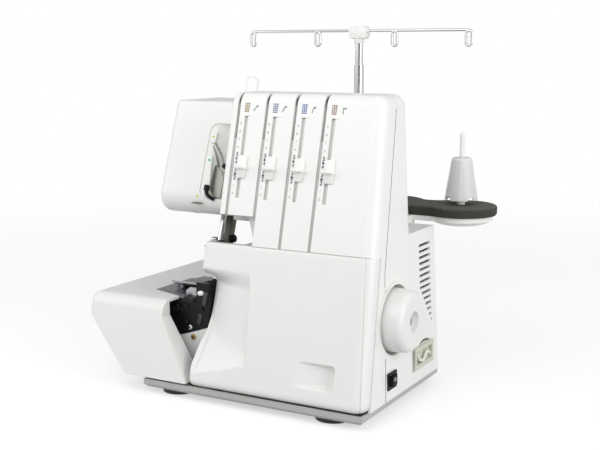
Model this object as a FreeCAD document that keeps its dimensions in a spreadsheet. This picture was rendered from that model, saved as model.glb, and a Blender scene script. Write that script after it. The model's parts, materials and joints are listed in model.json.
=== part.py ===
"""Home overlock machine (serger), modelled as separate pieces in one document.

X runs to the machine's right, Y to its back and Z up; the origin is on the table, under the middle of the
machine's box. The front of the machine leans back, so many sizes are taken along that lean.
"""
import FreeCAD, Part
import Sketcher
import math
import os
import re

# Driving dimensions in millimetres (slopes are run per unit of height, leans are degrees).
SIZES = {
    # outer body
    "front_y": -128, "front_slope": 0.249, "side_x": 137.5, "side_slope": 0.049,
    "rear_y": 50, "rear_slope": 0.004, "base_top": 14, "body_top": 290, "wall": 2.5,
    "corner_round": 12, "tower_left": -36.5, "tower_round": 4, "tower_rear": -8, "column_left": 5, "seam_gap": 0.4,
    "seam_foot_y": -80, "seam_kink_y": -73, "seam_kink_z": 131, "block_left": -50, "block_top": 159.5,
    "block_front": -20, "notch_low": 134, "notch_rear": 10, "inner_wall_end": -2, "rear_round": 5,
    # head
    "head_under": 176, "head_top": 278, "head_left": -143, "head_left_slope": 0.004, "head_front_y": -44,
    "head_slope": 0.361, "chin": 12.5, "chin_round": 18, "face_depth": 30, "head_rear_y": 46, "head_rear_slope": 0.28, "head_round": 10,
    "head_top_round": 4, "arm_right": 62, "arm_rise": 30.5, "recess_left": -91, "recess_rise": 6,
    "recess_top": 256, "recess_round": 9, "beam_door_left": -28, "beam_door_right": 36,
    "beam_door_bottom": 184, "beam_door_top": 268, "lamp_x": -116, "lamp_y": -2, "lamp_radius": 8.5,
    "lamp_drop": 3.2,
    # base pan and feet
    "pan_bottom": 6, "pan_wall": 2.5, "pan_inset": 1.5, "pan_left": -100, "pan_chamfer": 3,
    "pan_tail_x": -55, "pan_tail_y": 86, "foot_low_radius": 16.5, "foot_top_radius": 18,
    "foot_left_x": -74, "foot_right_x": 95.5, "foot_front_y": -102, "foot_rear_y": 22, "foot_tail_y": 60,
    # cast frame
    "frame_left": -92, "frame_right": 118, "frame_front": -64, "frame_rear": 36, "frame_thick": 5,
    "pedestal_right_x": 90, "pedestal_left_x": -42, "pedestal_width": 12, "pedestal_half": 11,
    "pedestal_over": 14, "column_x": 9, "column_width": 26, "column_front": -42, "column_depth": 28,
    "beam_rise": 17.5, "beam_height": 28, "beam_front": -5, "beam_depth": 25, "beam_bite": 2,
    "block_low_s": 104, "block_high_s": 182, "block_head_left": -106, "block_head_width": 36,
    "block_before": 10, "block_behind": 26, "sleeve_radius": 8.4, "sleeve_high_s": 194,
    "plate_arm_width": 10, "plate_arm_height": 10, "plate_arm_right": -70, "plate_arm_back": -6,
    "front_arm_back": -52, "front_arm_width": 8, "post_width": 9,
    "looper_post_left": -57, "looper_post_width": 28, "looper_post_front": -37.5, "looper_post_depth": 5,
    "looper_post_top": 53, "looper_pin": 2.5,
    "screw_radius": 2, "screw_head_radius": 4, "screw_head_height": 2, "screw_bite": 4.5,
    "screw_left_x": -48, "screw_right_x": 70, "screw_front_y": -52, "screw_rear_y": 24,
    # drive
    "run_fit": 0.05, "shaft_y": -55, "shaft_z": 86, "shaft_radius": 5, "shaft_left": -52,
    "shaft_right": 149, "bush_radius": 8, "cam_radius": 10, "cam_offset": 3, "cam_width": 8,
    "cam_left_x": -22, "cam_right_x": 46, "pulley_x": 107, "pulley_width": 10, "pulley_radius": 26,
    "pulley_hub": 9, "wheel_inner_x": 126, "wheel_face_x": 153.5, "wheel_radius": 30, "wheel_round": 6,
    "wheel_draft": 1.5, "wheel_dimple": 10, "wheel_dimple_depth": 6, "cup_gap": 2.8, "cup_floor_x": 122.5,
    "cup_hole": 7.5, "motor_y": 6, "motor_z": 62, "motor_radius": 27, "motor_left": 36,
    "motor_length": 62, "motor_step": 5, "bracket_thick": 3, "bracket_half": 29, "bracket_top": 94,
    "motor_shaft": 3, "motor_pulley": 9, "belt_thick": 2, "belt_gap": 0.3, "belt_inset": 1.5,
    # needle bar line, measured along the bar (s) and behind it (v)
    "bar_lean": 18, "needle_x": -85.5, "needle_y": -25, "plate_top": 89, "bar_radius": 3,
    "bar_low_s": 38, "bar_high_s": 190, "clamp_low_s": 34, "clamp_length": 13, "clamp_half": 5.6,
    "needle_half_pitch": 2, "needle_radius": 0.6, "needle_tip_s": 10, "needle_point": 6,
    "set_screw_radius": 1.8, "set_screw_length": 5, "bar_bush_radius": 5.6, "bar_bush_length": 10,
    "presser_v": 14, "presser_radius": 4, "presser_low_s": 22, "presser_high_s": 180,
    "shank_half": 6.5, "shank_high_s": 36, "shank_before": 5.2, "sole_thick": 2, "sole_gap": 0.4,
    "sole_left": -112, "sole_right": -80.6, "sole_front": -60, "sole_back": -2, "sole_toe": 7,
    "knob_collar": 6, "knob_collar_low_s": 187, "knob_radius": 6.8, "knob_low_s": 204.5,
    "knob_high_s": 227, "knob_gap": 1, "knob_round": 2,
    "lifter_x": -88, "lifter_rise": 40, "lifter_pin": 4, "lifter_hub": 8, "lifter_thick": 6,
    "lifter_length": 30, "lifter_width": 11, "lifter_gap": 3.4, "lifter_pin_reach": 16,
    # sewing field
    "plate_thick": 3, "plate_left": -125, "plate_right": -82.5, "plate_front_left": -69,
    "plate_front_right": -84, "plate_gap": 0.4, "dog_left_x": -113, "dog_pitch": 9, "dog_width": 4,
    "dog_front": -50, "dog_back": -20, "dog_low": 70, "dog_top": 88.3, "dog_gap": 1, "dog_tooth": 3,
    "dog_tooth_depth": 1.4, "dog_bar_height": 6, "needle_slot_front": -33, "needle_slot_back": -19,
    "needle_slot_left": -92.5, "lower_knife_thick": 1.2, "lower_knife_front": -84,
    "lower_knife_back": -62, "lower_knife_low": 68, "guard_front": -88, "guard_thick": 3,
    "guard_left": -122, "guard_right": -48, "guard_low": 46, "guard_rise": 17, "guard_high": 85.6,
    "guard_post_left": -63,
    "guard_post_top": 106, "guard_foot_left": -102, "guard_foot_width": 10, 
    "guard_foot_height": 12, "knife_gap": 0.4, "upper_knife_left": -72, "upper_knife_width": 8,
    "upper_knife_depth": 7, "upper_knife_low": 52, "upper_knife_high": 112, "blade_low": 92,
    "blade_height": 9, "blade_depth": 4,
    "lower_looper_x": -50, "lower_looper_z": 40, "upper_looper_x": -36, "upper_looper_z": 44,
    "looper_hub": 6, "looper_thick": 5, "looper_gap": 0.5, "looper_arm": 4,
    "lower_elbow_x": -57, "lower_elbow_z": 66, "lower_tip_x": -92, "lower_tip_z": 74,
    "upper_elbow_x": -57, "upper_elbow_z": 80, "upper_tip_x": -76, "upper_tip_z": 93,
    "takeup_gap": 4, "takeup_thick": 3, "takeup_y": 9.5, "takeup_rise": 20, "takeup_pin": 2.5,
    "takeup_hub": 6, "takeup_tip_y": -33, "takeup_tip_rise": 19, "takeup_half": 2.6, "takeup_eye": 1.6,
    "guide_left": -86, "guide_right": -69, "guide_thick": 1.2, "guide_rise": 4, "guide_length": 76,
    "guide_hook_radius": 4, "guide_hook_wire": 1.1,
    # cloth plate
    "cloth_left": -177.5, "cloth_right": -86.5, "cloth_rear": 87, "cloth_under_z": 72,
    "cloth_toe_x": -131.5, "cloth_toe_z": 25, "cloth_foot_x": -121.5, "cloth_bottom": 16,
    "cloth_heel_x": -50.5, "cloth_shoulder_z": 74, "cloth_front_round": 13, "cloth_left_round": 7,
    "cloth_return_y": -100, "pivot_x": -76, "pivot_y": 70, "pivot_pin": 4, "pivot_post": 8,
    "pivot_post_top": 60, "pivot_knuckle": 8, "pivot_gap": 0.4,
    # front cover
    "cover_left": -49, "cover_bottom": 14.4, "cover_top": 149, "cover_depth": 15, "cover_round": 6,
    "scoop_right": 6.5, "scoop_low": 27, "scoop_high": 123, "scoop_step": 6, "scoop_radius": 14,
    "scoop_left": -44, "pocket_left": 65.5, "pocket_right": 105.5, "pocket_low": 30.5,
    "pocket_high": 53.5, "pocket_depth": 9, "rod_radius": 1.8, "rod_left": -36, "rod_right": 104,
    "lug_radius": 3.1, "lug_width": 6, "lug_left_x": -28, "lug_right_x": 84, "lug_reach": 15,
    "lug_post": 5, "lug_drop": 0.8, "knuckle_left_x": -4, "knuckle_right_x": 58, "knuckle_width": 8,
    "knuckle_radius": 3.9,
    # tension panel
    "groove_first_x": -27.5, "groove_pitch": 31, "groove_width": 3.2, "groove_depth": 10,
    "groove_over": 16, "groove_foot": 140, "rib_half": 3.5, "rib_depth": 12.5, "slot_offset": 9.6,
    "slot_width": 4, "slot_low": 192, "slot_high": 268, "slider_z": 221, "slider_offset": 11.5,
    "slider_width": 12, "slider_height": 19, "slider_proud": 6, "slider_gap": 0.4, "slider_stem": 2.2,
    "slider_stem_height": 7, "slider_clip_width": 9, "slider_clip_thick": 2,
    "disc_radius": 4.4, "disc_thick": 0.8, "disc_gap": 0.4, "disc_rise": 10,
    "disc_depth": 5.2,
    # right side fittings
    "switch_front": -76, "switch_width": 19, "switch_low": 24, "switch_height": 16, "switch_deep": 14,
    "switch_proud": 1, "switch_rim": 2, "rocker_gap": 0.5, "rocker_proud": 2.6, "rocker_deep": 4,
    "rocker_tilt": 7, "rocker_pivot": 2, "rocker_pin": 0.8, "inlet_front": -14, "inlet_width": 46,
    "inlet_low": 26, "inlet_height": 22,
    "inlet_deep": 20, "inlet_proud": 1, "inlet_rim": 4.5, "inlet_well": 16, "contact_radius": 1.5,
    "contact_length": 10, "contact_pitch": 11, "vent_front": 6, "vent_length": 27, "vent_height": 2.6,
    "vent_top": 143, "vent_pitch": 5.9, "vent_long": 8, "vent_short": 6, "vent_step": 4.2,
    "dial_y": 24, "dial_high_z": 138, "dial_low_z": 110, "dial_radius": 11, "dial_thick": 9,
    "dial_pin": 3, "dial_pin_length": 6, "dial_gap": 0.4, "dial_notches": 10, "dial_notch": 1.2,
    # spool stand and mast
    "pin_pitch": 80, "pin_last_x": 141, "pin_y": 91, "lobe_radius": 36.5, "neck_front": 58,
    "neck_rear": 110, "pad_low": 165, "pad_thick": 10, "tray_thick": 5, "tray_inset": 4,
    "lobe_blend": 9, "tray_bracket_low": 138, "tray_bracket_left": -60, "tray_bracket_width": 160,
    "pin_radius": 2.6, "pin_top": 248, "cone_low_radius": 16.5, "cone_top_radius": 9.5, "cone_height": 43,
    "cone_lift": 5, "collar_radius": 4.2,
    "cone_wall": 1.4, "cone_slit": 2, "cone_slit_height": 12, "cone_gap": 0.3, "mast_y": 98,
    "mast_outer": 6, "tube_wall": 1, "tube_fit": 0.05,
    "mast_outer_top": 262, "mast_middle_low": 215, "mast_middle_top": 314, "mast_top_low": 268,
    "mast_tip": 344, "holder_radius": 6.8, "holder_low": 337, "holder_height": 18,
    "bar_z": 350, "wire_radius": 1.5, "eye_near": 45, "eye_far": 126, "eye_shift": -4.5,
    "eye_width": 8.6, "eye_height": 17, "eye_sink": 0.8,
}

doc = FreeCAD.newDocument("overlock_machine")
sheet = doc.addObject("Spreadsheet::Sheet", "Sizes")
for row, (alias, number) in enumerate(SIZES.items(), 1):
    sheet.set(f"A{row}", "'" + alias)
    sheet.set(f"B{row}", str(number))
    sheet.setAlias(f"B{row}", alias)
doc.recompute()

V = FreeCAD.Vector
NODES = []
# An edge longer than this runs along a whole face.
LONG = 4 * SIZES["corner_round"]
AXES = {"x": V(1, 0, 0), "y": V(0, 1, 0), "z": V(0, 0, 1)}
SIN = "sin(bar_lean * 1deg)"
COS = "cos(bar_lean * 1deg)"

# Heights and places that hang on other sizes.
ARM_UNDER = "(block_top + arm_rise)"
BEAM_LOW = f"({ARM_UNDER} + wall + beam_rise)"
BEAM_LEFT = "(block_head_left + block_head_width - beam_bite)"
RECESS_LOW = "(head_under + recess_rise)"
LIFTER_Z = "(head_under + lifter_rise)"
TAKEUP_X = "(block_head_left + block_head_width + takeup_gap)"
TAKEUP_Z = "(head_under + takeup_rise)"
TAKEUP_TIP_Z = f"({TAKEUP_Z} + takeup_tip_rise)"
GUIDE_LOW = f"({RECESS_LOW} + guide_rise)"
DISC_Z = "(head_under + disc_rise)"
TOOL_LEFT = "(tower_left - corner_round)"


def bound(text):
    """An expression on the sheet, from words that are its aliases."""
    return re.sub(r"[a-z_]+", lambda m: "Sizes." + m[0] if m[0] in SIZES else m[0], str(text))


def value(text):
    """The same expression as a plain number."""
    result = sheet.evalExpression(bound(text))
    return float(getattr(result, "Value", result))


def tie(thing, **paths):
    """Bind properties of an object to expressions; two underscores stand for a dot."""
    for path, text in paths.items():
        thing.setExpression(path.replace("__", "."), bound(text))
    return thing


def node(label, thing):
    """Mark an object as one named piece of the machine."""
    thing.Label = label
    NODES.append(thing)
    return thing


def place(thing, at, axis=None, angle=None):
    """Put an object at an expression point, turned about an axis by an expression angle."""
    if axis is not None:
        thing.Placement = FreeCAD.Placement(V(), FreeCAD.Rotation(axis, value(angle)))
        tie(thing, Placement__Rotation__Angle=angle)
    tie(thing, Placement__Base__x=at[0], Placement__Base__y=at[1], Placement__Base__z=at[2])
    return thing


def box(size, at, axis=None, angle=None):
    thing = doc.addObject("Part::Box", "block")
    tie(thing, Length=size[0], Width=size[1], Height=size[2])
    return place(thing, at, axis, angle)


def rod(radius, length, at, along="z"):
    """A round bar that starts at a point and runs along an axis or along the needle bar's lean."""
    thing = doc.addObject("Part::Cylinder", "bar")
    tie(thing, Radius=radius, Height=length)
    turn = {"x": (AXES["y"], "90"), "y": (V(-1, 0, 0), "90"), "bar": (V(-1, 0, 0), "bar_lean * 1deg")}
    return place(thing, at, *turn.get(along, (None, None)))


def cone(low_radius, top_radius, height, at, along="z"):
    thing = doc.addObject("Part::Cone", "taper")
    tie(thing, Radius1=low_radius, Radius2=top_radius, Height=height)
    return place(thing, at, *((V(-1, 0, 0), "bar_lean * 1deg") if along == "bar" else (None, None)))


def join(*pieces):
    thing = doc.addObject("Part::MultiFuse", "joined")
    thing.Shapes = list(pieces)
    return thing


def cut(base, *tools):
    thing = doc.addObject("Part::Cut", "cut")
    thing.Base = base
    thing.Tool = tools[0] if len(tools) == 1 else join(*tools)
    return thing


def group(*pieces):
    thing = doc.addObject("Part::Compound", "group")
    thing.Links = list(pieces)
    return thing


def shape_of(shape):
    """A piece whose form needs arcs or sweeps, built from sheet values."""
    thing = doc.addObject("Part::Feature", "form")
    thing.Shape = shape
    return thing


def new_body(name):
    return doc.addObject("PartDesign::Body", name)


def outline(body, plane, points, offset):
    """A closed sketch whose corners are each held at an expression distance from the origin."""
    sketch = body.newObject("Sketcher::SketchObject", body.Name + "_outline")
    support = next(f for f in body.Origin.OriginFeatures if f.Role == plane + "_Plane")
    sketch.AttachmentSupport = [(support, "")]
    sketch.MapMode = "FlatFace"
    tie(sketch, AttachmentOffset__Base__z=offset)
    corners = [V(value(a), value(b), 0) for a, b in points]
    count = len(corners)
    for i in range(count):
        sketch.addGeometry(Part.LineSegment(corners[i], corners[(i + 1) % count]), False)
    for i in range(count):
        sketch.addConstraint(Sketcher.Constraint("Coincident", i, 2, (i + 1) % count, 1))
    for i, pair in enumerate(points):
        for kind, text in zip(("DistanceX", "DistanceY"), pair):
            index = sketch.addConstraint(Sketcher.Constraint(kind, -1, 1, i, 1, value(text)))
            sketch.setExpression(f"Constraints[{index}]", bound(text))
    return sketch


def pad(body, plane, points, start, length):
    """Add a prism that runs from start along the plane's positive axis."""
    offset = f"-({start})" if plane == "XZ" else start
    feature = body.newObject("PartDesign::Pad", body.Name + "_pad")
    feature.Profile = outline(body, plane, points, offset)
    feature.Reversed = plane == "XZ"
    tie(feature, Length=length)
    return feature


def pocket(body, plane, points, start, length):
    """Cut a prism that runs from start along the plane's positive axis."""
    doc.recompute()
    before = body.Tip.Shape.Volume
    offset = f"-({start})" if plane == "XZ" else f"({start}) + ({length})"
    feature = body.newObject("PartDesign::Pocket", body.Name + "_pocket")
    feature.Profile = outline(body, plane, points, offset)
    tie(feature, Length=length)
    doc.recompute()
    if feature.Shape.Volume >= before:
        raise RuntimeError(f"{body.Name}: a pocket cuts nothing")
    return feature


def soften(body, radius, choose):
    """Round the edges of a body that a test picks by their box."""
    doc.recompute()
    tip = body.Tip
    names = [f"Edge{i}" for i, edge in enumerate(tip.Shape.Edges, 1) if choose(edge.BoundBox)]
    feature = body.newObject("PartDesign::Fillet", body.Name + "_round")
    feature.Base = (tip, names)
    tie(feature, Radius=radius)
    doc.recompute()
    return feature


def prism(plane, points, start, length, name="prism"):
    body = new_body(name)
    pad(body, plane, points, start, length)
    return body


def near(a, b):
    return abs(a - b) < 0.05


def front_at(z, behind="0"):
    return f"(front_y + (({z}) - base_top) * front_slope + ({behind}))"


def right_at(z, inside="0"):
    return f"(side_x - (({z}) - base_top) * side_slope - ({inside}))"


def rear_at(z, inside="0"):
    return f"(rear_y - (({z}) - base_top) * rear_slope - ({inside}))"


def seam_at(z):
    return f"(seam_kink_y + (({z}) - seam_kink_z) * front_slope)"


def head_front_at(z, behind="0"):
    return f"(head_front_y + (({z}) - head_under) * head_slope + ({behind}))"


def head_rear_at(z, inside="0"):
    return f"(head_rear_y + (({z}) - head_under) * head_rear_slope - ({inside}))"


def on_bar(s, v="0"):
    """Y and Z of a point s up the needle bar line and v behind it."""
    return f"(needle_y + ({s}) * {SIN} + ({v}) * {COS})", f"(plate_top + ({s}) * {COS} - ({v}) * {SIN})"


def bar_rod(radius, low, high, x="needle_x", v="0"):
    return rod(radius, f"({high}) - ({low})", (x, *on_bar(low, v)), "bar")


def bar_box(width, v_size, low, high, left, v_low):
    return box((width, v_size, f"({high}) - ({low})"), (left, *on_bar(low, v_low)), V(-1, 0, 0),
               "bar_lean * 1deg")


def trim_right(body, inside, low, high):
    """Give a body the drafted right side of the machine."""
    beyond = "side_x + wall"
    pocket(body, "XZ", [(right_at(low, inside), low), (right_at(high, inside), high), (beyond, high),
                        (beyond, low)], "front_y - wall", "cloth_rear - front_y")


# Base pan: an L-shaped tray with a chamfered skirt; its tail carries the cloth plate's pivot.
def pan_outline(inset):
    left, front = f"pan_left + ({inset})", f"front_y + pan_inset + ({inset})"
    right, rear = f"side_x - pan_inset - ({inset})", f"rear_y - pan_inset - ({inset})"
    tail_x, tail_y = f"pan_tail_x - ({inset})", f"pan_tail_y - ({inset})"
    return [(left, front), (right, front), (right, rear), (tail_x, rear), (tail_x, tail_y), (left, tail_y)]


FLOOR = "pan_bottom + pan_wall"
FRAME_TOP = f"{FLOOR} + frame_thick"
SCREW_PLACES = [(x, y) for x in ("screw_left_x", "screw_right_x") for y in ("screw_front_y", "screw_rear_y")]
HINGE_Z = "(cover_bottom + cover_round)"
HINGE_Y = front_at(HINGE_Z, "cover_round * sqrt(1 + front_slope * front_slope)")

pan = new_body("pan")
pad(pan, "XY", pan_outline("0"), "pan_bottom", "base_top - pan_bottom")
doc.recompute()
pan_slab = pan.Tip
skirt = pan.newObject("PartDesign::Chamfer", "pan_skirt")
skirt.Base = (pan_slab, [f"Edge{i}" for i, edge in enumerate(pan_slab.Shape.Edges, 1)
                         if near(edge.BoundBox.ZMax, value("pan_bottom"))])
tie(skirt, Size="pan_chamfer")
pocket(pan, "XY", pan_outline("pan_wall"), FLOOR, "base_top - pan_bottom")


def cover_lug(x):
    """A gooseneck on the pan that carries the cover's hinge rod from behind."""
    ring = rod("lug_radius", "lug_width", (x, HINGE_Y, HINGE_Z), "x")
    arm = box(("lug_width", "lug_reach", "lug_radius + lug_drop"), (x, HINGE_Y, f"{HINGE_Z} - lug_drop"))
    post = box(("lug_width", "lug_post", f"{HINGE_Z} + lug_radius - ({FLOOR})"),
               (x, f"{HINGE_Y} + lug_reach - lug_post", FLOOR))
    return [ring, arm, post]


pan_lugs = cover_lug("lug_left_x") + cover_lug("lug_right_x")
pan_holes = [rod("screw_radius + run_fit", "pan_wall", (x, y, "pan_bottom")) for x, y in SCREW_PLACES]
rod_hole = rod("rod_radius + run_fit", "rod_right - rod_left", ("rod_left", HINGE_Y, HINGE_Z), "x")
node("base_pan", cut(join(pan, *pan_lugs), rod_hole, *pan_holes))

node("rubber_feet", group(*[
    cone("foot_low_radius", "foot_top_radius", "pan_bottom", (x, y, "0"))
    for x, y in (("foot_left_x", "foot_front_y"), ("foot_right_x", "foot_front_y"),
                 ("foot_left_x", "foot_tail_y"), ("foot_right_x", "foot_rear_y"))]))

node("frame_screws", group(*[
    join(rod("screw_radius", "screw_bite + pan_wall", (x, y, "pan_bottom")),
         rod("screw_head_radius", "screw_head_height", (x, y, "pan_bottom - screw_head_height")))
    for x, y in SCREW_PLACES]))

# Cast frame: bed plate, shaft pedestals, column, beam to the head block, and the seats of the moving parts.
bed = box(("frame_right - frame_left", "frame_rear - frame_front", "frame_thick"),
          ("frame_left", "frame_front", FLOOR))
tail = box(("pan_tail_x - pan_wall - frame_left - pivot_gap",
            "pan_tail_y - pan_wall - frame_rear - pivot_gap",
            "frame_thick"), ("frame_left", "frame_rear", FLOOR))
pivot_post = rod("pivot_post", f"pivot_post_top - ({FLOOR})", ("pivot_x", "pivot_y", FLOOR))
pedestals = [box(("pedestal_width", "2 * pedestal_half", f"shaft_z + pedestal_over - ({FLOOR})"),
                 (x, "shaft_y - pedestal_half", FLOOR)) for x in ("pedestal_left_x", "pedestal_right_x")]
column = box(("column_width", "column_depth", f"{BEAM_LOW} + beam_height - ({FLOOR})"),
             ("column_x", "column_front", FLOOR))
link = box(("column_width", "beam_front + beam_depth - column_front", "beam_height"),
           ("column_x", "column_front", BEAM_LOW))
beam = box((f"column_x + column_width - {BEAM_LEFT}", "beam_depth", "beam_height"),
           (BEAM_LEFT, "beam_front", BEAM_LOW))
head_block = bar_box("block_head_width", "block_before + block_behind", "block_low_s", "block_high_s",
                     "block_head_left", "-block_before")
sleeve = bar_rod("sleeve_radius", "block_high_s", "sleeve_high_s", v="presser_v")
PLATE_LOW = "(plate_top - plate_thick)"
back_arm = box(("plate_arm_right - plate_left", "plate_arm_width", "plate_arm_height"),
               ("plate_left", "plate_arm_back - plate_arm_width", f"{PLATE_LOW} - plate_arm_height"))
back_post = box(("post_width", "plate_arm_width", f"{PLATE_LOW} - ({FLOOR})"),
                ("plate_arm_right - post_width", "plate_arm_back - plate_arm_width", FLOOR))
front_arm = box(("plate_right - plate_left", "front_arm_width", "plate_arm_height"),
                ("plate_left", "front_arm_back - front_arm_width", f"{PLATE_LOW} - plate_arm_height"))
front_post = box(("post_width", "front_arm_width", f"{PLATE_LOW} - ({FLOOR})"),
                 ("plate_right - post_width", "front_arm_back - front_arm_width", FLOOR))
looper_post = box(("looper_post_width", "looper_post_depth", f"looper_post_top - ({FLOOR})"),
                  ("looper_post_left", "looper_post_front", FLOOR))
LOWER_LOOPER_Y = "(looper_post_front + looper_post_depth + looper_gap)"
UPPER_LOOPER_Y = "(looper_post_front - looper_gap - looper_thick)"
looper_pins = [
    rod("looper_pin", "looper_thick + looper_gap + looper_post_depth",
        ("lower_looper_x", "looper_post_front", "lower_looper_z"), "y"),
    rod("looper_pin", "looper_thick + looper_gap + looper_post_depth",
        ("upper_looper_x", UPPER_LOOPER_Y, "upper_looper_z"), "y")]
takeup_pin = rod("takeup_pin", f"{TAKEUP_X} + takeup_thick + looper_gap - block_head_left - block_head_width"
                 " + looper_hub", ("block_head_left + block_head_width - looper_hub", "takeup_y", TAKEUP_Z),
                 "x")
casting = join(bed, tail, pivot_post, *pedestals, column, link, beam, head_block, sleeve, back_arm,
               back_post,
               front_arm, front_post, looper_post, *looper_pins, takeup_pin)
shaft_bore = rod("bush_radius", "pedestal_right_x + pedestal_width - pedestal_left_x",
                 ("pedestal_left_x", "shaft_y", "shaft_z"), "x")
bar_bores = [bar_rod("bar_bush_radius", "block_low_s", "block_high_s", v=v) for v in ("0", "presser_v")]
collar_bore = bar_rod("knob_collar + run_fit", "block_high_s", "sleeve_high_s", v="presser_v")
screw_bores = [rod("screw_radius + run_fit", "screw_bite", (x, y, FLOOR)) for x, y in SCREW_PLACES]
LIFTER_Y = head_rear_at(LIFTER_Z, "-lifter_gap")
lifter_bore = rod("lifter_pin + run_fit", "lifter_pin_reach + lifter_gap",
                  ("lifter_x", f"{LIFTER_Y} - lifter_pin_reach - lifter_gap", LIFTER_Z), "y")
node("machine_frame", cut(casting, shaft_bore, *bar_bores, collar_bore, *screw_bores, lifter_bore))

node("plate_hinge_pin", rod("pivot_pin", f"{PLATE_LOW} - pivot_gap - pivot_post_top",
                            ("pivot_x", "pivot_y", "pivot_post_top")))

# Main shaft with its cams, bushes and pulley.
SHAFT = ("shaft_y", "shaft_z")
node("shaft_bushes", group(*[
    cut(rod("bush_radius", "pedestal_width", (x, *SHAFT), "x"),
        rod("shaft_radius + run_fit", "pedestal_width", (x, *SHAFT), "x"))
    for x in ("pedestal_left_x", "pedestal_right_x")]))
cams = [rod("cam_radius", "cam_width", (x, "shaft_y", f"shaft_z {sign} cam_offset"), "x")
        for x, sign in (("cam_left_x", "+"), ("cam_right_x", "-"))]
node("main_shaft", join(rod("shaft_radius", "shaft_right - shaft_left", ("shaft_left", *SHAFT), "x"), *cams))
node("drive_pulley", cut(
    join(rod("pulley_radius", "pulley_width", ("pulley_x", *SHAFT), "x"),
         rod("pulley_hub", "pulley_width + wall", ("pulley_x", *SHAFT), "x")),
    rod("shaft_radius + run_fit", "pulley_width + wall", ("pulley_x", *SHAFT), "x")))

wheel = new_body("wheel")
wheel_turn = wheel.newObject("PartDesign::Revolution", "wheel_turn")
wheel_turn.Profile = outline(wheel, "XZ", [
    ("wheel_inner_x", "shaft_z + shaft_radius + run_fit"), ("wheel_inner_x", "shaft_z + wheel_radius"),
    ("wheel_face_x", "shaft_z + wheel_radius - wheel_draft"), ("wheel_face_x", "shaft_z + wheel_dimple"),
    ("wheel_face_x - wheel_dimple_depth", "shaft_z + wheel_dimple - wheel_draft"),
    ("wheel_face_x - wheel_dimple_depth", "shaft_z + shaft_radius + run_fit")], "-shaft_y")
wheel_axis = wheel.newObject("PartDesign::Line", "wheel_axis")
wheel_axis.Placement = FreeCAD.Placement(V(0, value("shaft_y"), value("shaft_z")),
                                         FreeCAD.Rotation(V(0, 1, 0), 90))
tie(wheel_axis, Placement__Base__y="shaft_y", Placement__Base__z="shaft_z")
wheel_turn.ReferenceAxis = (wheel_axis, [""])
wheel_turn.Angle = 360
soften(wheel, "wheel_round", lambda b: near(b.XMin, value("wheel_face_x")) and near(b.XMax, b.XMin)
       and b.ZLength > value("wheel_radius"))
node("handwheel", wheel)

# Motor, its bracket, shaft, pulley and the belt.
MOTOR = ("motor_y", "motor_z")
BRACKET_X = "(motor_left + motor_length)"
node("motor", join(
    rod("motor_radius", "motor_length - motor_step", ("motor_left", *MOTOR), "x"),
    cut(rod("motor_radius - motor_step", "motor_step", (f"{BRACKET_X} - motor_step", *MOTOR), "x"),
        rod("motor_shaft + belt_gap", "motor_step", (f"{BRACKET_X} - motor_step", *MOTOR), "x"))))
node("motor_bracket", cut(
    box(("bracket_thick", "2 * bracket_half", f"bracket_top - ({FRAME_TOP})"),
        (BRACKET_X, "motor_y - bracket_half", FRAME_TOP)),
    rod("motor_shaft + run_fit", "bracket_thick", (BRACKET_X, *MOTOR), "x")))
node("motor_rotor", join(
    rod("motor_shaft", f"pulley_x + pulley_width + wall - {BRACKET_X} + motor_step",
        (f"{BRACKET_X} - motor_step", *MOTOR), "x"),
    rod("motor_pulley", "pulley_width", ("pulley_x", *MOTOR), "x")))


def belt_face(extra):
    """The outline of an open belt round both pulleys, as a face across X."""
    big, small = value("pulley_radius") + extra, value("motor_pulley") + extra
    a = V(0, value("shaft_y"), value("shaft_z"))
    b = V(0, value("motor_y"), value("motor_z"))
    along = (b - a).normalize()
    across = V(0, -along.z, along.y)
    lean = (big - small) / (b - a).Length
    rise = math.sqrt(1 - lean * lean)
    sides = [along * lean + across * rise, along * lean - across * rise]
    edges = [Part.Arc(a + sides[0] * big, a - along * big, a + sides[1] * big).toShape(),
             Part.makeLine(a + sides[1] * big, b + sides[1] * small),
             Part.Arc(b + sides[1] * small, b + along * small, b + sides[0] * small).toShape(),
             Part.makeLine(b + sides[0] * small, a + sides[0] * big)]
    return Part.Face(Part.Wire(edges))


belt_width = V(value("pulley_width - 2 * belt_inset"), 0, 0)
belt = belt_face(value("belt_gap + belt_thick")).extrude(belt_width).cut(
    belt_face(value("belt_gap")).extrude(belt_width))
belt.translate(V(value("pulley_x + belt_inset"), 0, 0))
node("drive_belt", shape_of(belt))

# Housing: two halves that meet at a leaning seam, hollowed with the same walls.
LID = "(body_top - wall)"
CUP = ("shaft_y", "shaft_z")
cup_outer = rod("wheel_radius + cup_gap + wall", "side_x - cup_floor_x + wall",
                ("cup_floor_x - wall", *CUP), "x")
cup_bowl = rod("wheel_radius + cup_gap", "side_x - cup_floor_x + wall", ("cup_floor_x", *CUP), "x")
cup_hole = rod("cup_hole", "3 * wall", ("cup_floor_x - 2 * wall", *CUP), "x")
COVER_BACK = "(cover_depth / (1 + front_slope * front_slope))"
SEAM_TOP = f"(cover_top - {COVER_BACK} * front_slope)"


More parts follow.
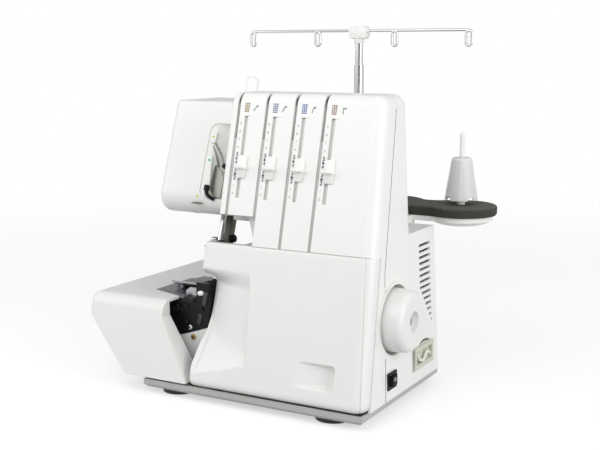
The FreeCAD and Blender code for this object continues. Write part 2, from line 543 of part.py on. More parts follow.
front_outer = new_body("front_outer")
pad(front_outer, "YZ", [(front_at("head_under"), "head_under"), (front_at("body_top"), "body_top"),
                        (seam_at("body_top"), "body_top"), (seam_at("head_under"), "head_under")],
    "tower_left", "side_x - tower_left")
pad(front_outer, "YZ", [(front_at("base_top", "cover_depth"), "base_top"),
                        (front_at(SEAM_TOP, "cover_depth"), SEAM_TOP), (front_at("cover_top"), "cover_top"),
                        (front_at("head_under"), "head_under"), (seam_at("head_under"), "head_under"),
                        ("seam_kink_y", "seam_kink_z"), ("seam_foot_y", "base_top")],
    "column_left", "side_x - column_left")
trim_right(front_outer, "0", "base_top - 2 * wall", "body_top + wall")
soften(front_outer, "corner_round", lambda b: b.XMax > value(right_at("body_top")) - 0.1 and (
    (near(b.ZMin, value("body_top")) and b.YLength > value("corner_round"))
    or (b.ZLength > value("corner_round") and b.YMax < value(front_at("body_top")) + 0.1
        and b.ZMin > value("cover_top") - 0.1))
    or (near(b.ZMin, value("body_top")) and near(b.YMax, value(front_at("body_top"))) and b.XLength > LONG))
soften(front_outer, "tower_round", lambda b: b.XMax < value("tower_left") + 0.1 and (
    b.YMax < value(front_at("body_top")) + 0.1 if b.ZLength > LONG else near(b.ZMax, value("body_top"))))

front_inner = new_body("front_inner")
pad(front_inner, "YZ",
    [(front_at("head_under + wall", "wall"), "head_under + wall"), (front_at(LID, "wall"), LID),
                        (f"{seam_at(LID)} + wall", LID),
                        (f"{seam_at('head_under')} + wall", "head_under + wall")],
    "tower_left + wall", "side_x - tower_left")
trim_right(front_inner, "wall", "base_top - 2 * wall", "body_top + wall")
soften(front_inner, "corner_round - wall", lambda b: b.XMax > value(right_at(LID, "wall")) - 0.1 and (
    (near(b.ZMin, value(LID)) and b.YLength > value("corner_round"))
    or (b.ZLength > value("corner_round") and b.YMax < value(front_at(LID, "wall")) + 0.1))
    or (near(b.ZMin, value(LID)) and near(b.YMax, value(front_at(LID, "wall"))) and b.XLength > LONG))

front_column = new_body("front_column")
pad(front_column, "YZ", [(front_at("cover_top", "wall"), "cover_top - 3 * wall"),
                         (front_at("head_under + 2 * wall", "wall"), "head_under + 2 * wall"),
                         (f"{seam_at('head_under')} + 4 * wall", "head_under + 2 * wall"),
                         (f"{seam_at('cover_top')} + 4 * wall", "cover_top - 3 * wall")],
    "column_left + wall", "side_x - column_left")
trim_right(front_column, "wall", "base_top - wall", "body_top + wall")
soften(front_column, "corner_round - wall", lambda b: b.ZLength > 20
       and b.XMin > value("column_left + corner_round")
       and b.YMin < value(front_at("cover_top", "wall")) + 0.1)
front_well = new_body("front_well")
pad(front_well, "YZ",
    [(front_at("base_top"), "base_top - wall"), (front_at("base_top"), f"{SEAM_TOP} - wall"),
                       ("seam_kink_y + 8 * wall", f"{SEAM_TOP} - wall"),
                       ("seam_kink_y + 8 * wall", "base_top - wall")],
    TOOL_LEFT, f"side_x - {TOOL_LEFT}")
trim_right(front_well, "wall", "base_top - 2 * wall", "body_top + wall")


def panel_strip(depth, low):
    """A strip of the leaning panel, from its face to a depth behind it, carried over the top edge."""
    return [(front_at(low, f"-{depth}"), low), (front_at(low, depth), low),
            (front_at(f"body_top - {depth}", depth), f"body_top - {depth}"),
            (front_at("body_top", "groove_over"), f"body_top - {depth} * 0.5"),
            (front_at("body_top", "groove_over"), "body_top + wall"),
            (front_at("body_top", f"-{depth}"), "body_top + wall")]


def groove_x(i):
    return f"groove_first_x + {i} * groove_pitch"


SLIDERS = range(4)
ribs = []
grooves = []
slots = []
for i in SLIDERS:
    low = "head_under" if i < 2 else "cover_top"
    ribs.append(prism("YZ", [
        (front_at(low, "wall * 0.5"), low), (front_at(low, "rib_depth"), low),
        (front_at(f"{LID}", "rib_depth"), LID), (front_at(f"{LID} - corner_round", "wall * 0.5"),
                                                 f"{LID} - corner_round")],
        f"{groove_x(i)} - rib_half", "2 * rib_half", "rib"))
    grooves.append(prism("YZ", panel_strip("groove_depth", "groove_foot"),
                         f"{groove_x(i)} - groove_width / 2", "groove_width", "groove"))
    slots.append(box(("slot_width", "3 * rib_depth", "slot_high - slot_low"),
                     (f"{groove_x(i)} + slot_offset - slot_width / 2", front_at("slot_low", "-wall"),
                      "slot_low")))

front_shell = cut(front_outer, front_inner, front_column, front_well)
cup_front = doc.addObject("Part::Common", "cup_front")
cup_front.Base = cup_outer
cup_front.Tool = prism("YZ", [("front_y", "base_top"), (front_at(LID), LID), (seam_at(LID), LID),
                              ("seam_kink_y", "seam_kink_z"), ("seam_foot_y", "base_top")],
                       "cup_floor_x - wall", "side_x - cup_floor_x - 2 * side_slope * wall", "cup_share")
node("front_housing", cut(join(front_shell, cup_front, *ribs), cup_bowl, cup_hole, *grooves, *slots,
                          prism("YZ", [(front_at("base_top", "-wall"), "base_top - wall"),
                                       (front_at("base_top", "cover_depth"), "base_top"),
                                       (front_at(SEAM_TOP, "cover_depth"), SEAM_TOP),
                                       (front_at("cover_top", "-wall"), "cover_top + wall * front_slope"),
                                       (front_at("base_top", "-wall * 4"), "cover_top")],
                                TOOL_LEFT, f"side_x - {TOOL_LEFT}", "cover_room")))

# Rear half: lower block behind the seam, upper back of the tower, with the handwheel cup and openings.
rear_outer = new_body("rear_outer")
GAP = "seam_gap"
pad(rear_outer, "YZ",
    [(f"{seam_at('head_under')} + {GAP}", "head_under"), (f"{seam_at('body_top')} + {GAP}", "body_top"),
                       ("tower_rear", "body_top"), ("tower_rear", "head_under")],
    "tower_left", "side_x - tower_left")
pad(rear_outer, "YZ", [(f"seam_foot_y + {GAP}", "base_top"), (f"seam_kink_y + {GAP}", "seam_kink_z"),
                       (f"{seam_at('head_under + wall')} + {GAP}", "head_under + wall"),
                       ("tower_rear", "head_under + wall"), ("tower_rear", "base_top")],
    "column_left", "side_x - column_left")
pad(rear_outer, "YZ",
    [("block_front", "base_top"), ("block_front", "block_top"), (rear_at("block_top"), "block_top"),
                       (rear_at("base_top"), "base_top")], "block_left", "side_x - block_left")
trim_right(rear_outer, "0", "base_top - wall", "body_top + wall")
soften(rear_outer, "corner_round", lambda b: b.XMax > value(right_at("body_top")) - 0.1 and (
    (near(b.ZMin, value("body_top")) and b.YLength > value("corner_round"))
    or (near(b.YMin, value("tower_rear")) and near(b.YMax, value("tower_rear"))
        and b.ZMax > value("body_top") - 0.1 and b.ZLength > value("corner_round")))
    or (near(b.ZMin, value("body_top")) and near(b.YMin, value("tower_rear")) and b.XLength > LONG))
soften(rear_outer, "tower_round", lambda b: b.XMax < value("tower_left") + 0.1
       and near(b.ZMax, value("body_top")) and b.ZLength < LONG)
soften(rear_outer, "rear_round", lambda b: b.ZMax < value("block_top") + 0.1 and (
    (near(b.ZMin, value("block_top")) and near(b.YMax, value(rear_at("block_top"))) and b.XLength > LONG)
    or (b.ZLength > value("block_top") / 2 and b.YMax > value("rear_y") - 0.1 and b.XMax > 0)))

rear_inner = new_body("rear_inner")
pad(rear_inner, "YZ", [("seam_foot_y - wall", "head_under + wall"), ("seam_foot_y - wall", LID),
                       ("tower_rear - wall", LID), ("tower_rear - wall", "head_under + wall")],
    "tower_left + wall", "side_x - tower_left")
trim_right(rear_inner, "wall", "base_top - wall", "body_top + wall")
soften(rear_inner, "corner_round - wall", lambda b: b.XMax > value(right_at(LID, "wall")) - 0.1 and (
    (near(b.ZMin, value(LID)) and b.YLength > value("corner_round"))
    or (near(b.YMin, value("tower_rear - wall")) and near(b.YMax, b.YMin) and b.ZLength > LONG))
    or (near(b.ZMin, value(LID)) and near(b.YMin, value("tower_rear - wall")) and b.XLength > LONG))


def hollow(name, front, rear, low, high, left):
    """One drafted cavity of the rear half."""
    body = new_body(name)
    pad(body, "YZ", [(front, low), (front, high), (rear(high), high), (rear(low), low)], left,
        f"side_x - ({left})")
    trim_right(body, "wall", "base_top - 2 * wall", "body_top + wall")
    return body


upright = lambda z: "tower_rear - wall"
rear_hollows = [
    hollow("neck", "front_y", upright, "block_top - 2 * wall", "head_under + 2 * wall",
           "column_left + wall"),
    hollow("well", "front_y", upright, "base_top - wall", "block_top - wall", "inner_wall_end"),
    hollow("bay", "front_y", lambda z: "block_front", "base_top - wall", f"{SEAM_TOP} - wall", TOOL_LEFT),
    hollow("block", "block_front + wall", lambda z: rear_at(z, "wall"), "base_top - wall",
           "block_top - wall",
           "block_left + wall")]


def notch(skin):
    """The open corner left of the column, grown by a skin on the sides that face the block."""
    return box((f"column_left - block_left + wall + {skin}", f"notch_rear - block_front + wall + {skin}",
                f"block_top - notch_low + 2 * wall + {skin}"),
               ("block_left - wall", "block_front - wall", f"notch_low - {skin}"))


rear_hollows[-1] = cut(rear_hollows[-1], notch("wall"))
rear_shell = cut(rear_outer, rear_inner, *rear_hollows, notch("0"))
cup_rear = doc.addObject("Part::Common", "cup_rear")
cup_rear.Base = cup_outer
cup_rear.Tool = prism("YZ", [(f"{seam_at(LID)} + {GAP}", LID), (f"seam_kink_y + {GAP}", "seam_kink_z"),
                             (f"seam_foot_y + {GAP}", "base_top"), ("tower_rear", "base_top"),
                             ("tower_rear", LID)],
                      "cup_floor_x - wall", "side_x - cup_floor_x - 2 * side_slope * wall", "cup_rest")
vents = []
for i in range(SIZES["vent_long"] + SIZES["vent_short"]):
    short = f"{max(0, i - SIZES['vent_long'] + 1)} * vent_step"
    vents.append(box(("4 * corner_round", f"max(vent_length - {short}; vent_height)", "vent_height"),
                     ("side_x - 2 * corner_round", f"vent_front + {short}", f"vent_top - {i} * vent_pitch")))
switch_hole = box(("4 * wall", "switch_width - 2 * switch_rim", "switch_height - 2 * switch_rim"),
                  ("side_x - 3 * wall", "switch_front + switch_rim", "switch_low + switch_rim"))
inlet_hole = box(("4 * wall", "inlet_width - 2 * switch_rim", "inlet_height - 2 * switch_rim"),
                 ("side_x - 3 * wall", "inlet_front + switch_rim", "inlet_low + switch_rim"))
beam_door = box(("beam_door_right - beam_door_left", "4 * wall", "beam_door_top - beam_door_bottom"),
                ("beam_door_left", "tower_rear - 2 * wall", "beam_door_bottom"))
dial_holes = [rod("dial_pin + dial_gap", "2 * wall", ("block_left - wall / 2", "dial_y", z), "x")
              for z in ("dial_high_z", "dial_low_z")]
node("rear_housing", cut(join(rear_shell, cup_rear), cup_bowl, cup_hole, switch_hole, inlet_hole, beam_door,
                         *vents, *dial_holes))

# Head: a face cover in front and an arm cover behind, meeting at a seam parallel to the face.
def head_block_body(name, front, left, right, low, high, rear):
    body = new_body(name)
    pad(body, "YZ", [(front(low), low), (front(high), high), (rear(high), high), (rear(low), low)],
        left, f"({right}) - ({left})")
    pocket(body, "XZ", [(f"{left} - wall", low), (f"{left} - wall", high),
                        (f"{left} + (({high}) - ({low})) * head_left_slope", high), (left, low)],
           "front_y", "cloth_rear - front_y")
    return body


HEAD_RIGHT = "tower_left - seam_gap"
HEAD_LOW = "(head_under - chin)"
face_outer = head_block_body("face_outer", head_front_at, "head_left", HEAD_RIGHT, HEAD_LOW, "head_top",
                             lambda z: head_front_at(z, "face_depth"))


def chin_edge(low, inset):
    """Pick the long front edge under the face cover."""
    front = value(head_front_at(low, inset))
    return lambda b: near(b.ZMax, value(low)) and near(b.YMax, front) and b.XLength > 20


def face_edges(high, left, inset):
    """Pick the left end's front, chin and bottom edges."""
    rear = value(head_front_at(HEAD_LOW, f"face_depth / 2 + ({inset})"))

    def choose(b):
        on_left = b.XMax < value(left) + value("wall") / 2
        at_rear = b.ZLength > LONG and b.YMin > rear
        return on_left and not at_rear and not near(b.ZMin, value(high))
    return choose


soften(face_outer, "chin_round", chin_edge(HEAD_LOW, "0"))
soften(face_outer, "head_round", face_edges("head_top", "head_left", "0"))
soften(face_outer, "head_top_round", lambda b: near(b.ZMin, value("head_top")) and b.YMin < value(
    head_front_at("head_top")) + value("head_round") + 0.1 and b.XMin < value("tower_left") - 30)
FACE_LOW = f"({HEAD_LOW} + wall)"
FACE_LEFT = "(head_left + wall)"
face_inner = head_block_body("face_inner", lambda z: head_front_at(z, "wall"), FACE_LEFT,
                             "tower_left + wall", FACE_LOW, "(head_top - wall)",
                             lambda z: head_front_at(z, "face_depth + wall"))
soften(face_inner, "chin_round - wall", chin_edge(FACE_LOW, "wall"))
soften(face_inner, "head_round - wall", face_edges("(head_top - wall)", FACE_LEFT, "wall"))
recess = new_body("recess")
pad(recess, "XZ", [("recess_left", RECESS_LOW), ("recess_left", "recess_top"), ("tower_left", "recess_top"),
                   ("tower_left", RECESS_LOW)], "front_y", "face_depth - front_y")
soften(recess, "recess_round", lambda b: near(b.XMax, value("recess_left")) and b.YLength > LONG)
node("face_cover", cut(face_outer, face_inner, recess))


def behind_face(z):
    return head_front_at(z, "face_depth + seam_gap")


arm_back = lambda z: head_rear_at(z)
arm_outer = head_block_body("arm_outer", behind_face, "head_left", HEAD_RIGHT, HEAD_LOW, "head_top",
                            arm_back)
pad(arm_outer, "YZ", [(behind_face(ARM_UNDER), ARM_UNDER), (behind_face("head_top"), "head_top"),
                      (head_rear_at("head_top"), "head_top"), (head_rear_at(ARM_UNDER), ARM_UNDER)],
    f"{HEAD_RIGHT} - wall", "seam_gap + wall")
pad(arm_outer, "YZ", [("tower_rear + seam_gap", ARM_UNDER), ("tower_rear + seam_gap", "head_top"),
                      (head_rear_at("head_top"), "head_top"), (head_rear_at(ARM_UNDER), ARM_UNDER)],
    "tower_left", "arm_right - tower_left")
soften(arm_outer, "head_top_round", lambda b: (near(b.ZMin, value("head_top")) and b.YMax > value(
    head_rear_at("head_top")) - 0.1) or (b.ZLength > LONG and b.YMax > value(head_rear_at("head_top")) - 0.1)
    or (near(b.ZMin, value("head_top")) and b.XMax < value("head_left") + 20))
arm_inner = head_block_body("arm_inner", lambda z: head_front_at(z, "face_depth - wall"), FACE_LEFT,
                            f"{HEAD_RIGHT} + wall", FACE_LOW, "(head_top - wall)",
                            lambda z: head_rear_at(z, "wall"))
pad(arm_inner, "YZ", [("tower_rear - wall", f"{ARM_UNDER} + wall"), ("tower_rear - wall", "head_top - wall"),
                      (head_rear_at("head_top - wall", "wall"), "head_top - wall"),
                      (head_rear_at(f"{ARM_UNDER} + wall", "wall"), f"{ARM_UNDER} + wall")],
    HEAD_RIGHT, f"arm_right - wall - ({HEAD_RIGHT})")
BAR_DOOR = "2 * presser_radius + wall"
bar_door = box((f"2 * ({BAR_DOOR})", f"presser_v + 2 * ({BAR_DOOR})", "4 * wall"),
               (f"needle_x - ({BAR_DOOR})", f"{on_bar(f'({HEAD_LOW} - plate_top)')[0]} - ({BAR_DOOR})",
                f"{HEAD_LOW} - wall"))
knob_door = bar_rod("knob_radius + knob_gap", "sleeve_high_s", "knob_high_s", v="presser_v")
lifter_door = rod("lifter_pin + run_fit", "lifter_pin_reach",
                  ("lifter_x", f"{LIFTER_Y} - lifter_pin_reach / 2",
                                                               LIFTER_Z), "y")
node("arm_cover", cut(arm_outer, arm_inner, bar_door, knob_door, lifter_door))

node("lamp_lens", cone("lamp_radius - lamp_drop / 2", "lamp_radius", "lamp_drop",
                       ("lamp_x", "lamp_y", f"{HEAD_LOW} - lamp_drop")))

# Needle bar, presser bar, their bushes, and what they carry.
node("bar_bushes", group(*[
    cut(bar_rod("bar_bush_radius", low, high, v=v), bar_rod(f"{radius} + run_fit", low, high, v=v))
    for v, radius in (("0", "bar_radius"), ("presser_v", "presser_radius"))
    for low, high in (("block_low_s", "block_low_s + bar_bush_length"),
                      ("block_high_s - bar_bush_length", "block_high_s"))]))
node("needle_bar", bar_rod("bar_radius", "bar_low_s", "bar_high_s"))
clamp_block = bar_box("2 * clamp_half", "2 * clamp_half", "clamp_low_s", "clamp_low_s + clamp_length",
                      "needle_x - clamp_half", "-clamp_half")
NEEDLE_XS = ("needle_x - needle_half_pitch", "needle_x + needle_half_pitch")
needle_holes = [bar_rod("needle_radius + run_fit", "clamp_low_s", "bar_low_s", x=x) for x in NEEDLE_XS]
SET_SCREWS = [f"clamp_low_s + clamp_length * {share}" for share in ("0.28", "0.72")]


def set_screw(s, radius, length, start):
    return rod(radius, length, (f"needle_x + clamp_half + ({start})", *on_bar(s)), "x")


screw_sockets = [set_screw(s, "set_screw_radius / 2 + run_fit", "wall", "-wall") for s in SET_SCREWS]
node("needle_clamp",
     cut(clamp_block, bar_rod("bar_radius + run_fit", "bar_low_s", "clamp_low_s + clamp_length"),
                         *needle_holes, *screw_sockets))
node("needles", group(*[
    join(bar_rod("needle_radius", "needle_tip_s + needle_point", "bar_low_s", x=x),
         cone("needle_radius / 6", "needle_radius", "needle_point", (x, *on_bar("needle_tip_s")), "bar"))
    for x in NEEDLE_XS]))
node("clamp_screws", group(*[
    join(set_screw(s, "set_screw_radius", "set_screw_length", "0"),
         set_screw(s, "set_screw_radius / 2", "wall", "-wall")) for s in SET_SCREWS]))
node("presser_bar", bar_rod("presser_radius", "presser_low_s", "presser_high_s", v="presser_v"))
SOLE_Z = "(plate_top + sole_gap)"
sole = new_body("sole")
pad(sole, "YZ", [("sole_front", f"{SOLE_Z} + sole_toe"), ("sole_front", f"{SOLE_Z} + sole_toe + sole_thick"),
                 ("sole_front + 2 * sole_toe", f"{SOLE_Z} + 2 * sole_thick"),
                 ("sole_back", f"{SOLE_Z} + sole_thick"),
                 ("sole_back", SOLE_Z), ("sole_front + 2 * sole_toe", SOLE_Z)], "sole_left",
                 "sole_right - sole_left")
SHANK_LOW = f"((sole_gap + (presser_v + shank_before) * {SIN}) / {COS})"
shank = bar_box("2 * shank_half", "2 * shank_before", SHANK_LOW, "shank_high_s", "needle_x - shank_half",
                "presser_v - shank_before")
sole_slot = box(("sole_right - needle_slot_left + wall", "needle_slot_back - needle_slot_front",
                 "5 * sole_toe"),
                ("needle_slot_left", "needle_slot_front - plate_gap", SOLE_Z))
node("presser_foot",
     cut(join(sole, cut(shank, bar_rod("presser_radius + run_fit", "presser_low_s", "shank_high_s + wall",
                                                       v="presser_v"))), sole_slot))
node("pressure_knob", join(bar_rod("knob_collar", "knob_collar_low_s", "knob_low_s", v="presser_v"),
                           bar_rod("knob_radius", "knob_low_s", "knob_high_s - knob_round", v="presser_v"),
                           cone("knob_radius", "knob_radius - knob_round", "knob_round",
                                ("needle_x", *on_bar("knob_high_s - knob_round", "presser_v")), "bar")))
node("presser_lever", join(
    rod("lifter_pin", "lifter_pin_reach", ("lifter_x", f"{LIFTER_Y} - lifter_pin_reach", LIFTER_Z), "y"),
    rod("lifter_hub", "lifter_thick", ("lifter_x", LIFTER_Y, LIFTER_Z), "y"),
    box(("lifter_width", "lifter_thick", "lifter_length"),
        ("lifter_x - lifter_width / 2", LIFTER_Y, f"{LIFTER_Z} - lifter_length")),
    rod("lifter_width / 2", "lifter_thick", ("lifter_x", LIFTER_Y, f"{LIFTER_Z} - lifter_length"), "y")))

# Sewing field: needle plate, feed dogs, knives, guard, loopers, take-up and thread guides.
plate = new_body("plate")
pad(plate, "XY", [("plate_left", "plate_front_left"), ("plate_right", "plate_front_right"),
                  ("plate_right", "plate_arm_back"), ("plate_left", "plate_arm_back")], PLATE_LOW,
                  "plate_thick")
DOG_XS = [f"dog_left_x + {i} * dog_pitch" for i in range(2)]
for x in DOG_XS:
    left, right = f"{x} - dog_gap", f"{x} + dog_width + dog_gap"
    pocket(plate, "XY",
           [(left, "dog_front - dog_gap"), (right, "dog_front - dog_gap"), (right, "dog_back + dog_gap"),
                         (left, "dog_back + dog_gap")], f"{PLATE_LOW} - wall", "plate_thick + 2 * wall")
pocket(plate, "XY", [("needle_slot_left", "needle_slot_front"), ("plate_right + wall", "needle_slot_front"),
                     ("plate_right + wall", "needle_slot_back"), ("needle_slot_left", "needle_slot_back")],
       f"{PLATE_LOW} - wall", "plate_thick + 2 * wall")
node("needle_plate", plate)


def dog_outline():
    """Side view of one feed dog: a bar with saw teeth along its top."""
    points = [("dog_front", "dog_low"), ("dog_front", "dog_top - dog_tooth_depth")]
    for i in range(9):
        points.append((f"dog_front + {i} * dog_tooth + dog_tooth * 0.9", "dog_top"))
        points.append((f"dog_front + {i + 1} * dog_tooth", "dog_top - dog_tooth_depth"))
    return points + [("dog_back", "dog_top - dog_tooth_depth"), ("dog_back", "dog_low")]


dogs = new_body("dogs")
for x in DOG_XS:
    pad(dogs, "YZ", dog_outline(), x, "dog_width")
FEED_BACK = "(plate_arm_back - plate_arm_width - plate_gap)"
pad(dogs, "XY", [("dog_left_x", "dog_front"), ("dog_left_x + dog_pitch + dog_width", "dog_front"),
                 ("dog_left_x + dog_pitch + dog_width", FEED_BACK), ("dog_left_x", FEED_BACK)],
    "dog_low", "dog_bar_height")
node("feed_dogs", dogs)

node("lower_knife",
     box(("lower_knife_thick", "lower_knife_back - lower_knife_front", "plate_top - lower_knife_low"),
                        ("plate_right", "lower_knife_front", "lower_knife_low")))
guard = new_body("guard")
GUARD_TOE = "guard_left + 2 * guard_foot_height"
pad(guard, "XZ", [("guard_left", "guard_low + guard_foot_height"), ("guard_left", "guard_high"),
                  ("guard_post_left", "guard_high"), ("guard_post_left", "guard_post_top"),
                  ("guard_right", "guard_post_top"), ("guard_right", "guard_low + guard_rise"),
                  (GUARD_TOE, "guard_low")], "guard_front", "guard_thick")
guard_foot = box(("guard_foot_width", "front_arm_back - front_arm_width - guard_front", "guard_foot_height"),
                 ("guard_foot_left", "guard_front", f"{PLATE_LOW} - guard_foot_height"))
node("looper_guard", join(guard, guard_foot))
node("inner_cover", prism("XZ", [
    (GUARD_TOE, "guard_low - plate_gap"), ("guard_right", "guard_low + guard_rise - plate_gap"),
    ("guard_right", FLOOR), (f"{GUARD_TOE} + guard_foot_height", FLOOR)], "guard_front", "guard_thick",
    "inner_plate"))
KNIFE_Y = "(guard_front + guard_thick + knife_gap)"
BLADE_X = "(plate_right + lower_knife_thick + knife_gap)"
node("upper_knife", join(
    box(("upper_knife_width", "upper_knife_depth", "upper_knife_high - upper_knife_low"),
        ("upper_knife_left", KNIFE_Y, "upper_knife_low")),
    box((f"upper_knife_left + upper_knife_width - {BLADE_X}", "blade_depth", "blade_height"),
        (BLADE_X, KNIFE_Y, "blade_low"))))


def looper(name, hub, elbow, tip, y):
    """A flat forging: hub, arm up to an elbow and a finger tapering to its point."""
    body = new_body(name)
    pad(body, "XZ",
        [(f"{hub}_x - looper_arm", f"{hub}_z"), (f"{elbow}_x - looper_arm", f"{elbow}_z - looper_arm / 2"),
                     (f"{tip}_x", f"{tip}_z"), (f"{elbow}_x + looper_arm / 2", f"{elbow}_z + looper_arm"),
                     (f"{hub}_x + looper_arm", f"{hub}_z")], y, "looper_thick")
    ring = rod("looper_hub", "looper_thick", (f"{hub}_x", y, f"{hub}_z"), "y")
    return cut(join(body, ring),
               rod("looper_pin + run_fit", "looper_thick", (f"{hub}_x", y, f"{hub}_z"), "y"))


node("lower_looper", looper("lower_arm", "lower_looper", "lower_elbow", "lower_tip", LOWER_LOOPER_Y))
node("upper_looper", looper("upper_arm", "upper_looper", "upper_elbow", "upper_tip", UPPER_LOOPER_Y))

takeup = new_body("takeup")
pad(takeup, "YZ", [("takeup_y", f"{TAKEUP_Z} - takeup_half"), ("takeup_y", f"{TAKEUP_Z} + takeup_half"),
                   ("takeup_tip_y", f"{TAKEUP_TIP_Z} + takeup_half"),
                   ("takeup_tip_y - takeup_half", TAKEUP_TIP_Z),
                   ("takeup_tip_y", f"{TAKEUP_TIP_Z} - takeup_half")],
    TAKEUP_X, "takeup_thick")
node("take_up_lever", cut(
    join(takeup, rod("takeup_hub", "takeup_thick", (TAKEUP_X, "takeup_y", TAKEUP_Z), "x")),
    rod("takeup_pin + run_fit", "takeup_thick", (TAKEUP_X, "takeup_y", TAKEUP_Z), "x"),
    rod("takeup_eye", "takeup_thick", (TAKEUP_X, "takeup_tip_y + takeup_eye", TAKEUP_TIP_Z), "x")))

guide_plate = box(("guide_right - guide_left", "guide_thick", "guide_length"),
                  ("guide_left", head_front_at(GUIDE_LOW, "wall * 1.2"), GUIDE_LOW), V(-1, 0, 0),
                  "atan(head_slope)")
hook = doc.addObject("Part::Torus", "hook")
tie(hook, Radius1="guide_hook_radius", Radius2="guide_hook_wire")
place(hook, ("guide_right - guide_hook_radius",
             head_front_at(f"{RECESS_LOW} + guide_hook_radius + wall", "wall * 1.2 - guide_hook_radius"),
             f"{RECESS_LOW} + 2 * guide_hook_radius"))
node("thread_guides", join(guide_plate, hook))

# Cloth plate: a closed wedge left of the needle plate that swings away on a pin behind it.
cloth = new_body("cloth")
CLOTH_LENGTH = "cloth_rear - front_y"


def wedge(body, inset, right_inset, start, length):
    """The wedge's front view, drawn in by an inset."""
    slant = "0.4142"
    pad(body, "XZ", [
        (f"cloth_heel_x - ({right_inset})", f"cloth_bottom - 2 * ({inset})"),
        (f"cloth_right - ({right_inset})", f"cloth_shoulder_z - 2 * ({inset})"),
        (f"cloth_right - ({right_inset})", f"plate_top - ({inset})"),
        (f"cloth_left + ({inset})", f"plate_top - ({inset})"),
        (f"cloth_left + ({inset})", f"cloth_under_z + ({inset}) * {slant}"),
        (f"cloth_toe_x + ({inset}) * {slant}", f"cloth_toe_z + ({inset}) * {slant}"),
        (f"cloth_foot_x + ({inset}) * {slant}", f"cloth_bottom - 2 * ({inset})")], start, length)


def lean_front(body, inset):
    pocket(body, "YZ", [(front_at("base_top - 2 * wall", inset), "base_top - 2 * wall"),
                        (front_at("plate_top + 2 * wall", inset), "plate_top + 2 * wall"),
                        ("front_y - 2 * wall", "plate_top + 2 * wall"),
                        ("front_y - 2 * wall", "base_top - 2 * wall")],
           "cloth_left - wall", "cloth_heel_x - cloth_left + 2 * wall")


wedge(cloth, "0", "0", "front_y", CLOTH_LENGTH)
lean_front(cloth, "0")
soften(cloth, "cloth_front_round", lambda b: near(b.ZMin, value("plate_top"))
       and near(b.ZMax, value("plate_top"))
       and near(b.YMax, value(front_at("plate_top"))) and b.XLength > LONG)
soften(cloth, "cloth_left_round", lambda b: b.XMax < value("cloth_left") + 0.1 and b.YLength > LONG)
cloth_hollow = new_body("cloth_hollow")
wedge(cloth_hollow, "wall", "wall * 1.2", "front_y", "cloth_rear - front_y + wall")
lean_front(cloth_hollow, "wall")
soften(cloth_hollow, "cloth_front_round - wall", lambda b: near(b.ZMin, value("plate_top - wall"))
       and near(b.ZMax, b.ZMin) and near(b.YMax,
                                         value(front_at("plate_top - wall", "wall"))) and b.XLength > LONG)
cloth_open = box(("cloth_heel_x - cloth_left", "cloth_rear - cloth_return_y + wall",
                  "plate_top - 1.5 * wall"),
                 ("cloth_right - 2 * wall", "cloth_return_y", "wall / 2"))
plate_notch = prism("XY", [
    ("plate_left - plate_gap", "plate_front_left - 2 * plate_gap"),
    ("cloth_heel_x", "plate_front_left - 2 * plate_gap + (cloth_heel_x - plate_left)"
     " * (plate_front_right - plate_front_left) / (plate_right - plate_left)"),
    ("cloth_heel_x", "plate_arm_back + plate_gap"),
    ("plate_left - plate_gap", "plate_arm_back + plate_gap")],
    f"{PLATE_LOW} - 3 * wall", "plate_thick + 6 * wall", "plate_notch")
lug = box(("pivot_x - cloth_right + pivot_knuckle", "2 * pivot_knuckle", "plate_thick"),
          ("cloth_right - pivot_knuckle", "pivot_y - pivot_knuckle", "plate_top - plate_thick"))
knuckle = rod("pivot_knuckle", "plate_top - wall - pivot_post_top - pivot_gap",
              ("pivot_x", "pivot_y", "pivot_post_top + pivot_gap"))
pin_hole = rod("pivot_pin + run_fit", f"{PLATE_LOW} - pivot_post_top",
               ("pivot_x", "pivot_y", "pivot_post_top"))
node("cloth_plate", cut(join(cut(cloth, cloth_hollow, cloth_open, plate_notch), lug, knuckle), pin_hole))

# Front cover: a leaning shell with a wrapped right corner, trimmings scoop, thumb pocket and hinge knuckles.
COVER_TOP = "(cover_top - seam_gap)"


def cover_block(name, inset):
    body = new_body(name)
    low = "cover_bottom" if inset == "0" else f"cover_bottom + ({inset})"
    back = f"({COVER_BACK} - seam_gap)"
    if inset == "0":
        top = [(front_at(COVER_TOP), COVER_TOP),
               (f"{front_at(COVER_TOP)} + {back}", f"{COVER_TOP} - {back} * front_slope")]
        rear = [(f"{front_at(low)} + cover_depth - seam_gap", low)]
    else:
        top = [(front_at(f"{COVER_TOP} + wall", inset), f"{COVER_TOP} + wall"),
               (front_at(f"{COVER_TOP} + wall", "2 * cover_depth"), f"{COVER_TOP} + wall")]
        rear = [(front_at(low, "2 * cover_depth"), low)]
    pad(body, "YZ", [(front_at(low, inset), low)] + top + rear, f"cover_left - ({inset})",
        "side_x - cover_left")
    trim_right(body, inset, "base_top - wall", "cover_top + 2 * wall")
    return body


def cover_corner(low, inset):
    """Pick the upright edge at the cover's right front corner."""
    front, right = value(front_at(low, inset)), value(right_at(low, inset))
    return lambda b: b.ZLength > LONG and b.XMax > right - 0.1 and near(b.YMin, front)


cover_outer = cover_block("cover_outer", "0")
soften(cover_outer, "corner_round", cover_corner("cover_bottom", "0"))
soften(cover_outer, "cover_round", lambda b: near(b.ZMax, value("cover_bottom")) and near(b.ZMin, b.ZMax)
       and b.YMin < value(front_at("cover_bottom")) + 0.1 and b.XLength > LONG)
cover_inner = cover_block("cover_inner", "wall")
soften(cover_inner, "corner_round - wall", cover_corner("cover_bottom + wall", "wall"))
soften(cover_inner, "cover_round - wall", lambda b: near(b.ZMax, value("cover_bottom + wall"))
       and near(b.ZMin, b.ZMax)
       and b.YMin < value(front_at("cover_bottom + wall", "wall")) + 0.1 and b.XLength > LONG)


